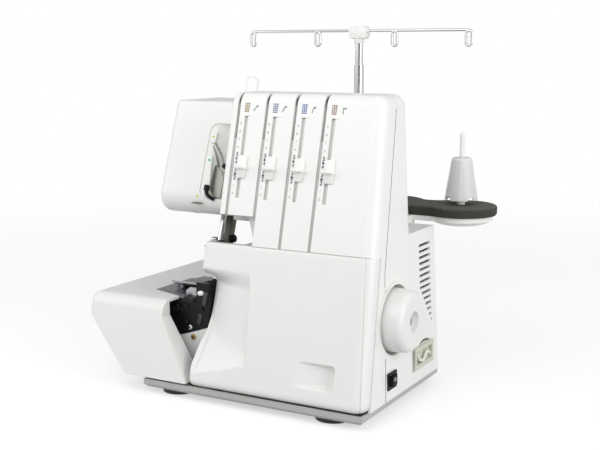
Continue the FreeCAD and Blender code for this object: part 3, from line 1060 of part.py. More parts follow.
def leaning(face_points, low, high):
    """Extrude a face drawn across Z, in distances behind the panel's face, along the front's lean."""
    base = value(front_at(low))
    edges = []
    for kind, *points in face_points:
        corners = [V(value(x), base + value(y), value(low)) for x, y in points]
        edges.append(Part.Arc(*corners).toShape() if kind == "arc" else Part.makeLine(*corners))
    rise = value(f"({high}) - ({low})")
    return Part.Face(Part.Wire(edges)).extrude(V(0, rise * value("front_slope"), rise))


def scoop_wall(extra):
    """Corners of the scoop's curved wall, drawn back by an extra depth."""
    round_x = "(scoop_left + scoop_radius)"
    bend = "scoop_radius * sqrt(0.5)"
    return [(f"scoop_right + ({extra})", f"scoop_step + ({extra})"), (round_x, f"scoop_step + ({extra})"),
            (f"{round_x} - {bend} + ({extra}) * sqrt(0.5)",
             f"scoop_step + scoop_radius - {bend} + ({extra}) * sqrt(0.5)"),
            (f"scoop_left + ({extra})", "scoop_step + scoop_radius")]


a0, a1, a2, a3 = scoop_wall("0")
b0, b1, b2, b3 = scoop_wall("wall")
wall_face = [("line", a0, a1), ("arc", a1, a2, a3), ("line", a3, b3), ("arc", b3, b2, b1), ("line", b1, b0),
             ("line", b0, (b0[0], "0")), ("line", (b0[0], "0"), (a0[0], "0")), ("line", (a0[0], "0"), a0)]
lid_face = [("line", (b0[0], "0"), b0), ("line", b0, b1), ("arc", b1, b2, b3), ("line", b3, (a3[0], a3[1])),
            ("line", a3, (a3[0], "0")), ("line", (a3[0], "0"), (b0[0], "0"))]
scoop_parts = [shape_of(leaning(wall_face, "scoop_low", "scoop_high")),
               shape_of(leaning(lid_face, "scoop_high", "scoop_high + wall")),
               shape_of(leaning(lid_face, "scoop_low - wall", "scoop_low"))]
SCOOP_EDGE = "cover_left - wall"
window_face = [("line", (SCOOP_EDGE, "-wall"), ("scoop_right", "-wall")),
               ("line", ("scoop_right", "-wall"), ("scoop_right", "2 * wall")),
               ("line", ("scoop_right", "2 * wall"), (SCOOP_EDGE, "2 * wall")),
               ("line", (SCOOP_EDGE, "2 * wall"), (SCOOP_EDGE, "-wall"))]
window = shape_of(leaning(window_face, "scoop_low", "scoop_high"))
boss_face = [("line", ("pocket_left", "wall / 2"), ("pocket_right + wall", "wall / 2")),
             ("line", ("pocket_right + wall", "wall / 2"), ("pocket_right + wall", "pocket_depth + wall")),
             ("line", ("pocket_right + wall", "pocket_depth + wall"), ("pocket_left", "wall / 2"))]
dent_face = [("line", ("pocket_left", "0"), ("pocket_right", "-wall")),
             ("line", ("pocket_right", "-wall"), ("pocket_right", "pocket_depth")),
             ("line", ("pocket_right", "pocket_depth"), ("pocket_left", "0"))]
pocket_boss = shape_of(leaning(boss_face, "pocket_low - wall", "pocket_high + wall"))
pocket_dent = shape_of(leaning(dent_face, "pocket_low", "pocket_high"))
cover_knuckles = [rod("knuckle_radius", "knuckle_width", (x, HINGE_Y, HINGE_Z), "x")
                  for x in ("knuckle_left_x", "knuckle_right_x")]
# The lip stops at the hinge axis, and the corner flange is rounded about it, so that the cover can tip.
SWEEP = "(cover_depth - cover_round - seam_gap)"
lip_room = box(("side_x - corner_round - cover_left", "2 * cover_depth", "3 * wall"),
               ("cover_left - cover_round", HINGE_Y, "cover_bottom - wall"))
flange_room = cut(box(("2 * corner_round + cover_round", "2 * cover_depth", "cover_round + wall"),
                      ("side_x - corner_round - cover_round", HINGE_Y, "cover_bottom - wall")),
                  rod(SWEEP, "4 * corner_round", ("side_x - 2 * corner_round", HINGE_Y, HINGE_Z), "x"))
cover_shell = cut(cover_outer, cover_inner, lip_room, flange_room)
node("front_cover",
     cut(join(cut(join(cover_shell, pocket_boss), window, pocket_dent), *scoop_parts, *cover_knuckles),
                        rod("rod_radius + run_fit", "rod_right - rod_left", ("rod_left", HINGE_Y, HINGE_Z),
                            "x")))
node("cover_hinge_rod", rod("rod_radius", "rod_right - rod_left", ("rod_left", HINGE_Y, HINGE_Z), "x"))

# Tension sliders and the disc pairs in the grooves.
LEAN = (V(-1, 0, 0), "atan(front_slope)")
SLIDER_LOW = "(slider_z - slider_height / 2)"


def panel_box(size, left, z, depth):
    """A block squared to the leaning panel, whose front lies at a depth behind the panel's face."""
    return box(size, (left, front_at(z, f"({depth}) * sqrt(1 + front_slope * front_slope)"), z), *LEAN)


for i in SLIDERS:
    knob_left = f"{groove_x(i)} + slider_offset - slider_width / 2"
    cap = panel_box(("slider_width", "slider_proud", "slider_height"), knob_left, SLIDER_LOW,
                    "-slider_proud - slider_gap")
    stem = panel_box(("slider_stem", "slider_gap + wall + slider_gap + slider_clip_thick + wall",
                      "slider_stem_height"),
                     f"{groove_x(i)} + slot_offset - slider_stem / 2", "slider_z - slider_stem_height / 2",
                     "-slider_gap - wall / 2")
    clip = panel_box(("slider_clip_width", "slider_clip_thick", "slider_height / 2"),
                     f"{groove_x(i)} + rib_half + slider_gap", "slider_z - slider_height / 4",
                     "wall + slider_gap")
    node(f"tension_slider_{i + 1}", join(cap, stem, clip))
node("tension_discs", group(*[
    rod("disc_radius", "disc_thick", (f"{groove_x(i)} + {side}", front_at(DISC_Z, "disc_depth"), DISC_Z),
        "x")
    for i in SLIDERS for side in ("disc_gap / 2", "(-disc_gap / 2 - disc_thick)")]))

# Right side: switch, rocker, inlet and contacts.
SWITCH_FACE = f"({right_at('switch_low')} + switch_proud)"
SWITCH_X = f"({SWITCH_FACE} - switch_deep)"
ROCKER_X = f"({SWITCH_FACE} - rocker_pivot)"
ROCKER_Y = "(switch_front + switch_width / 2)"
PIN_LOW = "switch_low + switch_rim + rocker_gap / 2"
PIN_LENGTH = "switch_height - 2 * switch_rim - rocker_gap"
switch_core = box(("switch_deep", "switch_width - 2 * switch_rim - rocker_gap",
                   "switch_height - 2 * switch_rim - rocker_gap"),
                  (SWITCH_X, "switch_front + switch_rim + rocker_gap / 2",
                   "switch_low + switch_rim + rocker_gap / 2"))
switch_bezel = box(("switch_proud", "switch_width", "switch_height"),
                   (f"{SWITCH_FACE} - switch_proud", "switch_front", "switch_low"))
rocker_well = box(("rocker_deep + switch_proud", "switch_width - 3 * switch_rim",
                   "switch_height - 3 * switch_rim"),
                  (f"{SWITCH_FACE} - rocker_deep", "switch_front + 1.5 * switch_rim",
                   "switch_low + 1.5 * switch_rim"))
pin_bore = rod("rocker_pin + run_fit", PIN_LENGTH, (ROCKER_X, ROCKER_Y, PIN_LOW))
node("switch_body", cut(join(switch_core, switch_bezel), rocker_well, pin_bore))
rocker = new_body("rocker_key")
ROCKER_HALF = "(switch_width / 2 - 1.5 * switch_rim - rocker_gap)"
pad(rocker, "XY", [(f"{SWITCH_FACE} - rocker_deep / 2", f"{ROCKER_Y} - {ROCKER_HALF}"),
                   (f"{SWITCH_FACE} + rocker_proud", f"{ROCKER_Y} - {ROCKER_HALF}"),
                   (f"{SWITCH_FACE} + rocker_proud / 3", ROCKER_Y),
                   (f"{SWITCH_FACE} + rocker_proud", f"{ROCKER_Y} + {ROCKER_HALF}"),
                   (f"{SWITCH_FACE} - rocker_deep / 2", f"{ROCKER_Y} + {ROCKER_HALF}"),
                   (f"{SWITCH_FACE} - rocker_deep + rocker_gap", ROCKER_Y)],
    "switch_low + 1.5 * switch_rim + rocker_gap", "switch_height - 3 * switch_rim - 2 * rocker_gap")
TILT = ("cos(rocker_tilt * 1deg)", "sin(rocker_tilt * 1deg)")
tilted = join(rocker, rod("rocker_pin", PIN_LENGTH, (ROCKER_X, ROCKER_Y, PIN_LOW)))
place(tilted, (f"{ROCKER_X} * (1 - {TILT[0]}) + {ROCKER_Y} * {TILT[1]}",
               f"{ROCKER_Y} * (1 - {TILT[0]}) - {ROCKER_X} * {TILT[1]}", "0"), AXES["z"],
               "rocker_tilt * 1deg")
node("power_rocker", tilted)

INLET_FACE = f"({right_at('inlet_low')} + inlet_proud)"
inlet_core = box(("inlet_deep", "inlet_width - 2 * switch_rim - rocker_gap",
                  "inlet_height - 2 * switch_rim - rocker_gap"),
                 (f"{INLET_FACE} - inlet_deep", "inlet_front + switch_rim + rocker_gap / 2",
                  "inlet_low + switch_rim + rocker_gap / 2"))
inlet_bezel = box(("inlet_proud", "inlet_width", "inlet_height"),
                  (f"{INLET_FACE} - inlet_proud", "inlet_front", "inlet_low"))
inlet_well = box(("inlet_well", "inlet_width - 2 * inlet_rim", "inlet_height - 2 * inlet_rim"),
                 (f"{INLET_FACE} - inlet_well", "inlet_front + inlet_rim", "inlet_low + inlet_rim"))
node("power_inlet", cut(join(inlet_core, inlet_bezel), inlet_well))
node("inlet_contacts", group(*[
    rod("contact_radius", "contact_length",
        (f"{INLET_FACE} - inlet_well", f"inlet_front + inlet_width / 2 + {k} * contact_pitch",
                                             "inlet_low + inlet_height / 2"), "x") for k in (-1, 0, 1)]))


def dial(z):
    """A finger dial with notches round its rim, on a pin through the housing's left wall."""
    face_x = "block_left - dial_gap - dial_thick"
    disc = rod("dial_radius", "dial_thick", (face_x, "dial_y", z), "x")
    pin = rod("dial_pin", "dial_pin_length + dial_gap", ("block_left - dial_gap", "dial_y", z), "x")
    notches = [rod("dial_notch", "dial_thick / 2", (face_x, f"dial_y + dial_radius * cos({angle}deg)",
                                                    f"{z} + dial_radius * sin({angle}deg)"), "x")
               for angle in range(0, 360, 360 // SIZES["dial_notches"])]
    return cut(join(disc, pin), *notches)


node("stitch_length_dial", dial("dial_high_z"))
node("differential_dial", dial("dial_low_z"))

# Spool stand: tray, foam pad, pins and cones in a row, and the telescopic mast behind them.
PIN_XS = [f"pin_last_x - {i} * pin_pitch" for i in range(4)]
MAST_X = "(pin_last_x - 1.5 * pin_pitch)"


def lobed(name, inset, low, height):
    """A band with a round lobe at each pin; the inner corners are blended."""
    body = new_body(name)
    pad(body, "XY", [(f"{PIN_XS[3]}", f"neck_front + ({inset})"), (PIN_XS[0], f"neck_front + ({inset})"),
                     (PIN_XS[0], f"neck_rear - ({inset})"), (PIN_XS[3], f"neck_rear - ({inset})")], low,
                     height)
    lobes = [rod(f"lobe_radius - ({inset})", height, (x, "pin_y", low)) for x in PIN_XS]
    return join(body, *lobes)


def blended(solid, radius):
    """Round the upright inner corners between band and lobes."""
    doc.recompute()
    plain = solid.Shape.removeSplitter()
    first, last = value(PIN_XS[3]), value(PIN_XS[0])
    corners = []
    for edge in plain.Edges:
        line = edge.BoundBox
        upright = near(line.XLength, 0) and near(line.YLength, 0)
        if upright and line.XMin > first + radius / 2 and line.XMin < last - radius / 2:
            corners.append(edge)
    return shape_of(plain.makeFillet(radius, corners))


TRAY_LOW = "(pad_low - tray_thick)"
tray = blended(lobed("tray", "tray_inset", TRAY_LOW, "tray_thick"), value("lobe_blend"))
bracket = prism("YZ", [(rear_at("tray_bracket_low"), "tray_bracket_low"), (rear_at("pad_low"), "pad_low"),
                       ("neck_front + 3 * tray_inset", "pad_low"), ("neck_front + 3 * tray_inset", TRAY_LOW),
                       (f"{rear_at('tray_bracket_low')} + tray_thick", "tray_bracket_low")],
                "tray_bracket_left", "tray_bracket_width", "tray_bracket")
mast_hole = rod("mast_outer", "tray_thick + pad_thick", (MAST_X, "mast_y", TRAY_LOW))
node("spool_stand", cut(join(tray, bracket), mast_hole))
foam = blended(lobed("foam", "0", "pad_low", "pad_thick"), value("lobe_blend"))
pad_holes = [rod("collar_radius + cone_gap", "pad_thick", (x, "pin_y", "pad_low")) for x in PIN_XS]
node("spool_pad",
     cut(foam, *pad_holes, rod("mast_outer + cone_gap", "pad_thick", (MAST_X, "mast_y", "pad_low"))))
node("spool_pins", group(*[
    join(rod("collar_radius", "pad_thick + cone_lift", (x, "pin_y", "pad_low")),
         rod("pin_radius", "pin_top - pad_low - pin_radius", (x, "pin_y", "pad_low")),
         cone("pin_radius", "pin_radius / 2", "pin_radius",
              (x, "pin_y", "pin_top - pin_radius"))) for x in PIN_XS]))
CONE_LOW = "(pad_low + pad_thick + cone_lift)"


def spool_cone(x):
    at = (x, "pin_y", CONE_LOW)
    shell = cone("cone_low_radius", "cone_top_radius", "cone_height", at)
    hollow_part = cone("cone_low_radius - cone_wall", "cone_top_radius - cone_wall",
                       "cone_height - cone_wall", at)
    bore = rod("pin_radius + cone_gap / 3", "cone_height", at)
    slits = [box(("cone_slit", "2 * cone_low_radius", "cone_slit_height"),
                 (f"{x} - cone_slit / 2", "pin_y - cone_low_radius", CONE_LOW)),
             box(("2 * cone_low_radius", "cone_slit", "cone_slit_height"),
                 (f"{x} - cone_low_radius", "pin_y - cone_slit / 2", CONE_LOW))]
    hub = rod("collar_radius", "cone_height", at)
    return cut(join(cut(shell, hollow_part, *slits), hub), bore)


node("spool_cones", group(*[spool_cone(x) for x in PIN_XS]))


def tube(radius, low, high):
    at = (MAST_X, "mast_y", low)
    return cut(rod(radius, f"({high}) - ({low})", at),
               rod(f"{radius} - tube_wall", f"({high}) - ({low})", at))


node("mast_outer_tube", tube("mast_outer", TRAY_LOW, "mast_outer_top"))
node("mast_middle_tube", tube("mast_outer - tube_wall - tube_fit", "mast_middle_low", "mast_middle_top"))
TIP_RADIUS = "(mast_outer - 2 * tube_wall - 2 * tube_fit)"
node("mast_top_tube", rod(TIP_RADIUS, "mast_tip - mast_top_low", (MAST_X, "mast_y", "mast_top_low")))
node("bar_holder", cut(
    rod("holder_radius", "holder_height", (MAST_X, "mast_y", "holder_low")),
    rod(f"{TIP_RADIUS} + tube_fit", "mast_tip - holder_low", (MAST_X, "mast_y", "holder_low")),
    rod("wire_radius", "4 * holder_radius", (f"{MAST_X} - 2 * holder_radius", "mast_y", "bar_z"), "x")))

EYES = [f"{MAST_X} + eye_shift {side}" for side in ("- eye_far", "- eye_near", "+ eye_near", "+ eye_far")]


def thread_eye(x):
    """A hanging loop of wire: two upright runs joined by half rounds, in the plane of the bar."""
    half = value("eye_width / 2 - wire_radius")
    middle = V(value(x), value("mast_y"), 0)
    top = value("bar_z - eye_sink") - half
    low = value("bar_z - eye_height") + half + value("wire_radius")
    left, right, up, = V(-half, 0, 0), V(half, 0, 0), V(0, 0, 1)
    path = Part.Wire([
        Part.makeLine(middle + left + up * low, middle + left + up * top),
        Part.Arc(middle + left + up * top, middle + up * (top + half), middle + right + up * top).toShape(),
        Part.makeLine(middle + right + up * top, middle + right + up * low),
        Part.Arc(middle + right + up * low, middle + up * (low - half), middle + left + up * low).toShape()])
    ring = Part.Wire([Part.makeCircle(value("wire_radius"), middle + left + up * low, up)])
    return shape_of(path.makePipeShell([ring], True, False))


long_wire = rod("wire_radius", "2 * eye_far", (f"{MAST_X} + eye_shift - eye_far", "mast_y", "bar_z"), "x")
node("thread_guide_bar", join(long_wire, *[thread_eye(x) for x in EYES]))

doc.recompute()
faults = [thing.Name for thing in doc.Objects if {"Invalid", "Error"} & set(thing.State)]
if faults:
    raise RuntimeError(f"failed objects: {faults}")
for piece in NODES:
    if piece.Shape.isNull() or not piece.Shape.isValid() or not piece.Shape.Solids:
        raise RuntimeError(f"{piece.Label} has no sound shape")
os.makedirs("parts", exist_ok=True)
for piece in NODES:
    piece.Shape.exportStep(f"parts/{piece.Label}.step")
    box_of = piece.Shape.BoundBox
    print(f"{piece.Label}: {len(piece.Shape.Solids)} solids, {piece.Shape.Volume / 1000:.1f} cm3, "
          f"X {box_of.XMin:.1f}..{box_of.XMax:.1f} Y {box_of.YMin:.1f}..{box_of.YMax:.1f} "
          f"Z {box_of.ZMin:.1f}..{box_of.ZMax:.1f}")
print(f"{len(NODES)} pieces written")
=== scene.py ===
# %% [markdown]
# # A home overlock machine, dressed for the camera
# The solid model already holds every casing, shaft and lever at its real size. This lesson leaves those
# solids where they are, gives each one a finish, and models the pieces that need softer shapes
# than solids give: the moulded front cover, the foam pad, the slider knobs and the small printed marks.

# %% Load the frame
import json
import math

import bmesh
import bpy
from mathutils import Matrix, Vector, noise


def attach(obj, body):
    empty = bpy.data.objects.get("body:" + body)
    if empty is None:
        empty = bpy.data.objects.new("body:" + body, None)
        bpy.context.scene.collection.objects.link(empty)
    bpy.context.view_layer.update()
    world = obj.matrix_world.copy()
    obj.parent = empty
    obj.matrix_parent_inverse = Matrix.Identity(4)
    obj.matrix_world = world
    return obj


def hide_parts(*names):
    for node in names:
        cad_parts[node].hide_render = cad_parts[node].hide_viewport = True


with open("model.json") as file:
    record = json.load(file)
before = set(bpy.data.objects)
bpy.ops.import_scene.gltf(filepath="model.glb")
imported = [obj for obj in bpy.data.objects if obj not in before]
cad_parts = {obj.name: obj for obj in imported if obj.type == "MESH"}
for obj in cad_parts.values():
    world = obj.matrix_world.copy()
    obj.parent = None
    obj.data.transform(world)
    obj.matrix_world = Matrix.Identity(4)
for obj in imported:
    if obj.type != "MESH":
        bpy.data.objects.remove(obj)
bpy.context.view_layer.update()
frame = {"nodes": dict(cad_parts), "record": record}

nodes = frame["nodes"]

# %% [markdown]
# ## Colours and nodes
# Paint charts and screens give colours as sRGB hex, but shaders add up light, so they need linear numbers.
# One function does that change. A second one adds a shader node: it sets the node's properties, and then
# gives each input either a plain value or a link, so a material reads like a short recipe.

# %% Two helpers for materials
MM = 0.001


def linear(hexcode):
    """An sRGB hex colour as the linear colour that a shader works in."""
    channels = [int(hexcode[i:i + 2], 16) / 255 for i in (1, 3, 5)]
    return [c / 12.92 if c <= 0.04045 else ((c + 0.055) / 1.055) ** 2.4 for c in channels] + [1.0]


def add(tree, kind, inputs, **settings):
    """Add one node, set its properties, and give each input a value or a link."""
    node = tree.nodes.new("ShaderNode" + kind)
    for name, value in settings.items():
        setattr(node, name, value)
    for name, value in inputs.items():
        if isinstance(value, bpy.types.NodeSocket):
            tree.links.new(value, node.inputs[name])
        else:
            node.inputs[name].default_value = value
    return node


def per_mm(size):
    """The texture scale, in metres, that makes a pattern's features about this many millimetres wide."""
    return 1 / (size * MM)


def blank(name):
    """A new material with nothing in it but its output, and the object coordinates to draw patterns on."""
    material = bpy.data.materials.new(name)
    material.use_nodes = True
    tree = material.node_tree
    tree.nodes.clear()
    where = add(tree, "TexCoord", {}).outputs["Object"]
    return material, tree, where


def show(tree, shader):
    add(tree, "OutputMaterial", {"Surface": shader.outputs[0]})


# %% [markdown]
# ## Moulded plastics
# The casings are injection-moulded ABS: the mould is spark-eroded, so the skin has a very fine grain and a
# soft, satin gloss, and thick spots come out a shade deeper. A flat white would look like paper. Two noises
# give the drift in tint and the changes in gloss, a third the grain, and a bevel node rounds the highlight
# on every edge the way a mould's tooling does. Real grain is about 0.1 mm; it is drawn coarser, or it would
# vanish at this distance.

# %% Moulded plastic
GRAIN = 0.45
HANDLING = 14
TINT_DRIFT = 70


def moulded(name, tint, deep_tint, roughness, ior=1.53, edge=0.5, grain_depth=0.012, shine=0.5):
    """Moulded plastic: a drifting tint, handled gloss, spark grain and tooling-soft edges."""
    material, tree, where = blank(name)
    drift = add(tree, "TexNoise", {"Vector": where, "Scale": per_mm(TINT_DRIFT), "Detail": 2.0})
    colour = add(tree, "Mix", {0: drift.outputs["Fac"], 6: linear(tint), 7: linear(deep_tint)},
                 data_type="RGBA")
    touch = add(tree, "TexNoise", {"Vector": where, "Scale": per_mm(HANDLING), "Detail": 4.0})
    gloss = add(tree, "MapRange", {"Value": touch.outputs["Fac"], "From Min": 0.3, "From Max": 0.7,
                                   "To Min": roughness - 0.05, "To Max": roughness + 0.06})
    grain = add(tree, "TexNoise", {"Vector": where, "Scale": per_mm(GRAIN), "Detail": 2.0})
    edges = add(tree, "Bevel", {"Radius": edge * MM}, samples=4)
    skin = add(tree, "Bump", {"Height": grain.outputs["Fac"], "Strength": 0.5, "Distance": grain_depth * MM,
                              "Normal": edges.outputs["Normal"]})
    show(tree, add(tree, "BsdfPrincipled", {
        "Base Color": colour.outputs[2], "Roughness": gloss.outputs["Result"], "IOR": ior,
        "Specular IOR Level": shine, "Normal": skin.outputs["Normal"]}))
    return material


white_abs = moulded("spark_grained_white_ABS", "#F1F2F0", "#EBECE9", 0.36)
# Grey ABS is the base's own colour; on the groove floors and the inlet pocket it is painted shade.
grey_abs = moulded("spark_grained_grey_ABS", "#B6B8B5", "#ADAFAC", 0.42)
# A pale grey copy of the white ABS: painted shade for the slot floors and the web under the arm.
painted_shade_grey_abs = moulded("spark_grained_ABS_painted_grey_shade", "#D3D5D2", "#CCCECB", 0.42)
black_polyamide = moulded("moulded_black_polyamide", "#141517", "#0D0E10", 0.5, shine=0.15)
# The same white ABS tinted a shade deeper: painted shade for the front cover, cloth plate and handwheel,
# which get less light.
painted_shade_white_abs = moulded("spark_grained_white_ABS_painted_shade", "#EBECEA", "#E6E7E4", 0.34)
inlet_polycarbonate = moulded("moulded_stone_polycarbonate", "#D2D3C3", "#C8C9B8", 0.4, ior=1.58)
# A paler copy of the inlet plastic: painted highlight on the insulator's rim.
highlight_polycarbonate = moulded("moulded_polycarbonate_painted_highlight", "#EDEEE4", "#E5E6DB", 0.4, ior=1.58)
print("moulded plastics ready")

# %% [markdown]
# ## Metals
# A metal's colour is its reflection, so a metal needs texture in its gloss more than in its tint. Ground
# steel carries parallel scratches: noise stretched along one axis. Bright plate over drawn wire keeps only
# faint draw marks. Cast aluminium is pebbly from its mould, sintered bronze is full of small pores that hold
# oil, and black oxide is a thin blue-black skin that wears to grey on high spots.

# %% Metals
SCRATCH = 0.5
SCRATCH_RUN = 12


def metal(name, tint, deep_tint, roughness, spread, grain=SCRATCH, run=(1, 1, 1), depth=0.004, metallic=1.0):
    """Metal whose gloss and surface vary with a noise that can be stretched along one axis."""
    material, tree, where = blank(name)
    stretched = add(tree, "Mapping", {"Vector": where, "Scale": [1 / k for k in run]})
    marks = add(tree, "TexNoise", {"Vector": stretched.outputs[0], "Scale": per_mm(grain), "Detail": 4.0})
    colour = add(tree, "Mix", {0: marks.outputs["Fac"], 6: linear(tint), 7: linear(deep_tint)},
                 data_type="RGBA")
    gloss = add(tree, "MapRange", {"Value": marks.outputs["Fac"], "From Min": 0.3, "From Max": 0.7,
                                   "To Min": roughness - spread, "To Max": roughness + spread})
    edges = add(tree, "Bevel", {"Radius": 0.25 * MM}, samples=4)
    skin = add(tree, "Bump", {"Height": marks.outputs["Fac"], "Strength": 0.5, "Distance": depth * MM,
                              "Normal": edges.outputs["Normal"]})
    show(tree, add(tree, "BsdfPrincipled", {
        "Base Color": colour.outputs[2], "Roughness": gloss.outputs["Result"], "Metallic": metallic,
        "Normal": skin.outputs["Normal"]}))
    return material


ground_steel = metal("ground_tool_steel", "#B9BABD", "#9A9B9F", 0.3, 0.08, run=(SCRATCH_RUN, 1, 1))
bright_plate = metal("bright_nickel_plate", "#CFCFCE", "#C3C3C2", 0.12, 0.03, run=(1, 1, SCRATCH_RUN),
                     depth=0.0004)
cast_aluminium = metal("pressure_cast_aluminium", "#A9ABAD", "#97999B", 0.5, 0.1, grain=1.2, depth=0.06)
sintered_bronze = metal("sintered_bronze", "#B08D57", "#8E6E3F", 0.45, 0.1, grain=0.6, depth=0.03)
black_oxide = metal("black_oxide_steel", "#1B1C1E", "#101113", 0.42, 0.1, grain=0.8, metallic=0.6)
worn_oxide = metal("worn_black_oxide", "#4F4F4C", "#3A3A38", 0.45, 0.1, grain=0.8, metallic=0.5)
brushed_steel = metal("brushed_grey_steel", "#97988F", "#7C7D76", 0.42, 0.08, run=(1, 1, SCRATCH_RUN))
phosphate_steel = metal("phosphated_dark_steel", "#77756B", "#5F5D54", 0.48, 0.1, run=(1, 1, SCRATCH_RUN),
                        metallic=0.35)
zinc_can = metal("zinc_plated_motor_can", "#B4B6B4", "#A2A49F", 0.34, 0.1, grain=6)
brass = metal("plated_brass", "#B79A5B", "#937A43", 0.3, 0.08)
print("metals ready")

# %% [markdown]
# ## Rubber, foam, natural polypropylene and the lamp's lens
# Foot and belt rubber is dull and faintly mottled. The thread stand's pad is open-cell foam: a charcoal mass
# full of cells, so its surface is a cell pattern; each pit is painted darker as its shade, and the sides
# darker still as painted shade.
# The cones are natural polypropylene, milky and a little see-through, which scattering under the surface
# gives.

# %% Soft and clear materials
FOAM_CELL = 1.1
RUBBER_BLOOM = 9
INK_LIFT = 1.6


def rubber(name, tint, deep_tint, roughness):
    """Moulded rubber: dull, with a mottled bloom."""
    material, tree, where = blank(name)
    bloom = add(tree, "TexNoise", {"Vector": where, "Scale": per_mm(RUBBER_BLOOM), "Detail": 5.0})
    colour = add(tree, "Mix", {0: bloom.outputs["Fac"], 6: linear(tint), 7: linear(deep_tint)},
                 data_type="RGBA")
    gloss = add(tree, "MapRange", {"Value": bloom.outputs["Fac"], "To Min": roughness - 0.1,
                                   "To Max": roughness + 0.1})
    skin = add(tree, "Bump", {"Height": bloom.outputs["Fac"], "Strength": 0.4, "Distance": 0.05 * MM})
    show(tree, add(tree, "BsdfPrincipled", {
        "Base Color": colour.outputs[2], "Roughness": gloss.outputs["Result"], "IOR": 1.52,
        "Normal": skin.outputs["Normal"]}))
    return material


def open_cell_foam():
    """Charcoal foam: a cell pattern drives pits; the pits and the sides are painted darker as their shade.
    """
    material, tree, where = blank("open_cell_charcoal_foam")
    cells = add(tree, "TexVoronoi", {"Vector": where, "Scale": per_mm(FOAM_CELL)})
    crumbs = add(tree, "TexNoise", {"Vector": where, "Scale": per_mm(2 * FOAM_CELL), "Detail": 6.0})
    mixed = add(tree, "Math", {0: cells.outputs["Distance"], 1: crumbs.outputs["Fac"]}, operation="MULTIPLY")
    # Low spots of the cell pattern are darker: painted shade in each pit.
    colour = add(tree, "MapRange", {"Value": mixed.outputs[0], "From Min": 0.05, "From Max": 0.45})
    tint = add(tree, "Mix", {0: colour.outputs["Result"], 6: linear("#3B3C37"), 7: linear("#64655E")},
               data_type="RGBA")
    # Faces turned away from straight up get a darker tint: painted shade on the pad's sides.
    shade_facing = add(tree, "SeparateXYZ", {0: add(tree, "NewGeometry", {}).outputs["Normal"]})
    skin = add(tree, "MapRange", {"Value": shade_facing.outputs["Z"], "From Min": 0.2, "From Max": 0.8})
    cut = add(tree, "Mix", {0: skin.outputs["Result"], 6: linear("#3A3B36"), 7: tint.outputs[2]},
              data_type="RGBA")
    pits = add(tree, "Bump", {"Height": mixed.outputs[0], "Strength": 0.8, "Distance": 0.5 * MM})
    show(tree, add(tree, "BsdfPrincipled", {
        "Base Color": cut.outputs[2], "Roughness": 0.95, "IOR": 1.45, "Normal": pits.outputs["Normal"]}))
    return material


def natural_polypropylene():
    """Milky moulded cones: light goes a few millimetres in and comes out soft."""
    material, tree, where = blank("natural_polypropylene")
    flow = add(tree, "TexNoise", {"Vector": where, "Scale": per_mm(18), "Detail": 3.0})
    colour = add(tree, "Mix", {0: flow.outputs["Fac"], 6: linear("#EEF0EE"), 7: linear("#E4E7E5")},
                 data_type="RGBA")
    edges = add(tree, "Bevel", {"Radius": 0.4 * MM}, samples=4)
    show(tree, add(tree, "BsdfPrincipled", {
        "Base Color": colour.outputs[2], "Roughness": 0.38, "IOR": 1.49, "Transmission Weight": 0.12,
        "Subsurface Weight": 0.5, "Subsurface Radius": [4 * MM, 4 * MM, 4 * MM], "Subsurface Scale": 1.0,
        "Normal": edges.outputs["Normal"]}))
    return material


def lamp_lens():
    """Clear acrylic with a ribbed inside that spreads the lamp's light."""
    material, tree, where = blank("ribbed_clear_acrylic")
    ribs = add(tree, "TexWave", {"Vector": where, "Scale": per_mm(8)})
    skin = add(tree, "Bump", {"Height": ribs.outputs["Fac"], "Strength": 0.5, "Distance": 0.2 * MM})
    show(tree, add(tree, "BsdfPrincipled", {
        "Base Color": linear("#E9E8DC"), "Roughness": 0.2, "IOR": 1.49, "Transmission Weight": 0.6,
        "Normal": skin.outputs["Normal"]}))
    return material


def printed_ink(name, tint):
    """Pad-printed ink: a thin matt film, paler where the pad lifted."""
    material, tree, where = blank(name)
    lift = add(tree, "TexNoise", {"Vector": where, "Scale": per_mm(INK_LIFT), "Detail": 3.0})
    thin = add(tree, "MapRange", {"Value": lift.outputs["Fac"], "From Min": 0.45, "From Max": 0.8,
                                  "To Max": 0.25})
    colour = add(tree, "Mix", {0: thin.outputs["Result"], 6: linear(tint), 7: linear("#D9DAD8")},
                 data_type="RGBA")
    show(tree, add(tree, "BsdfPrincipled", {"Base Color": colour.outputs[2], "Roughness": 0.55, "IOR": 1.5}))
    return material


foot_rubber = rubber("moulded_black_rubber", "#202123", "#161718", 0.6)
belt_rubber = rubber("ribbed_belt_rubber", "#1B1B1C", "#121213", 0.7)
foam = open_cell_foam()
cone_plastic = natural_polypropylene()
acrylic = lamp_lens()
dark_ink = printed_ink("printed_slate_ink", "#23262E")
grey_ink = printed_ink("printed_grey_ink", "#777A80")
THREAD_TINTS = ("#9C8F5A", "#7D7FA6", "#4F6FA8", "#97706B")
thread_inks = [printed_ink(f"printed_thread_ink_{k}", tint) for k, tint in enumerate(THREAD_TINTS, start=1)]
yellow_ink = printed_ink("printed_yellow_ink", "#D8CE3A")
green_ink = printed_ink("printed_green_ink", "#2FA487")
print("soft and clear materials ready")

# %% [markdown]
# ## Dress the solids
# Each solid has a material slot in its record, so one table of slot to finish dresses the whole frame.

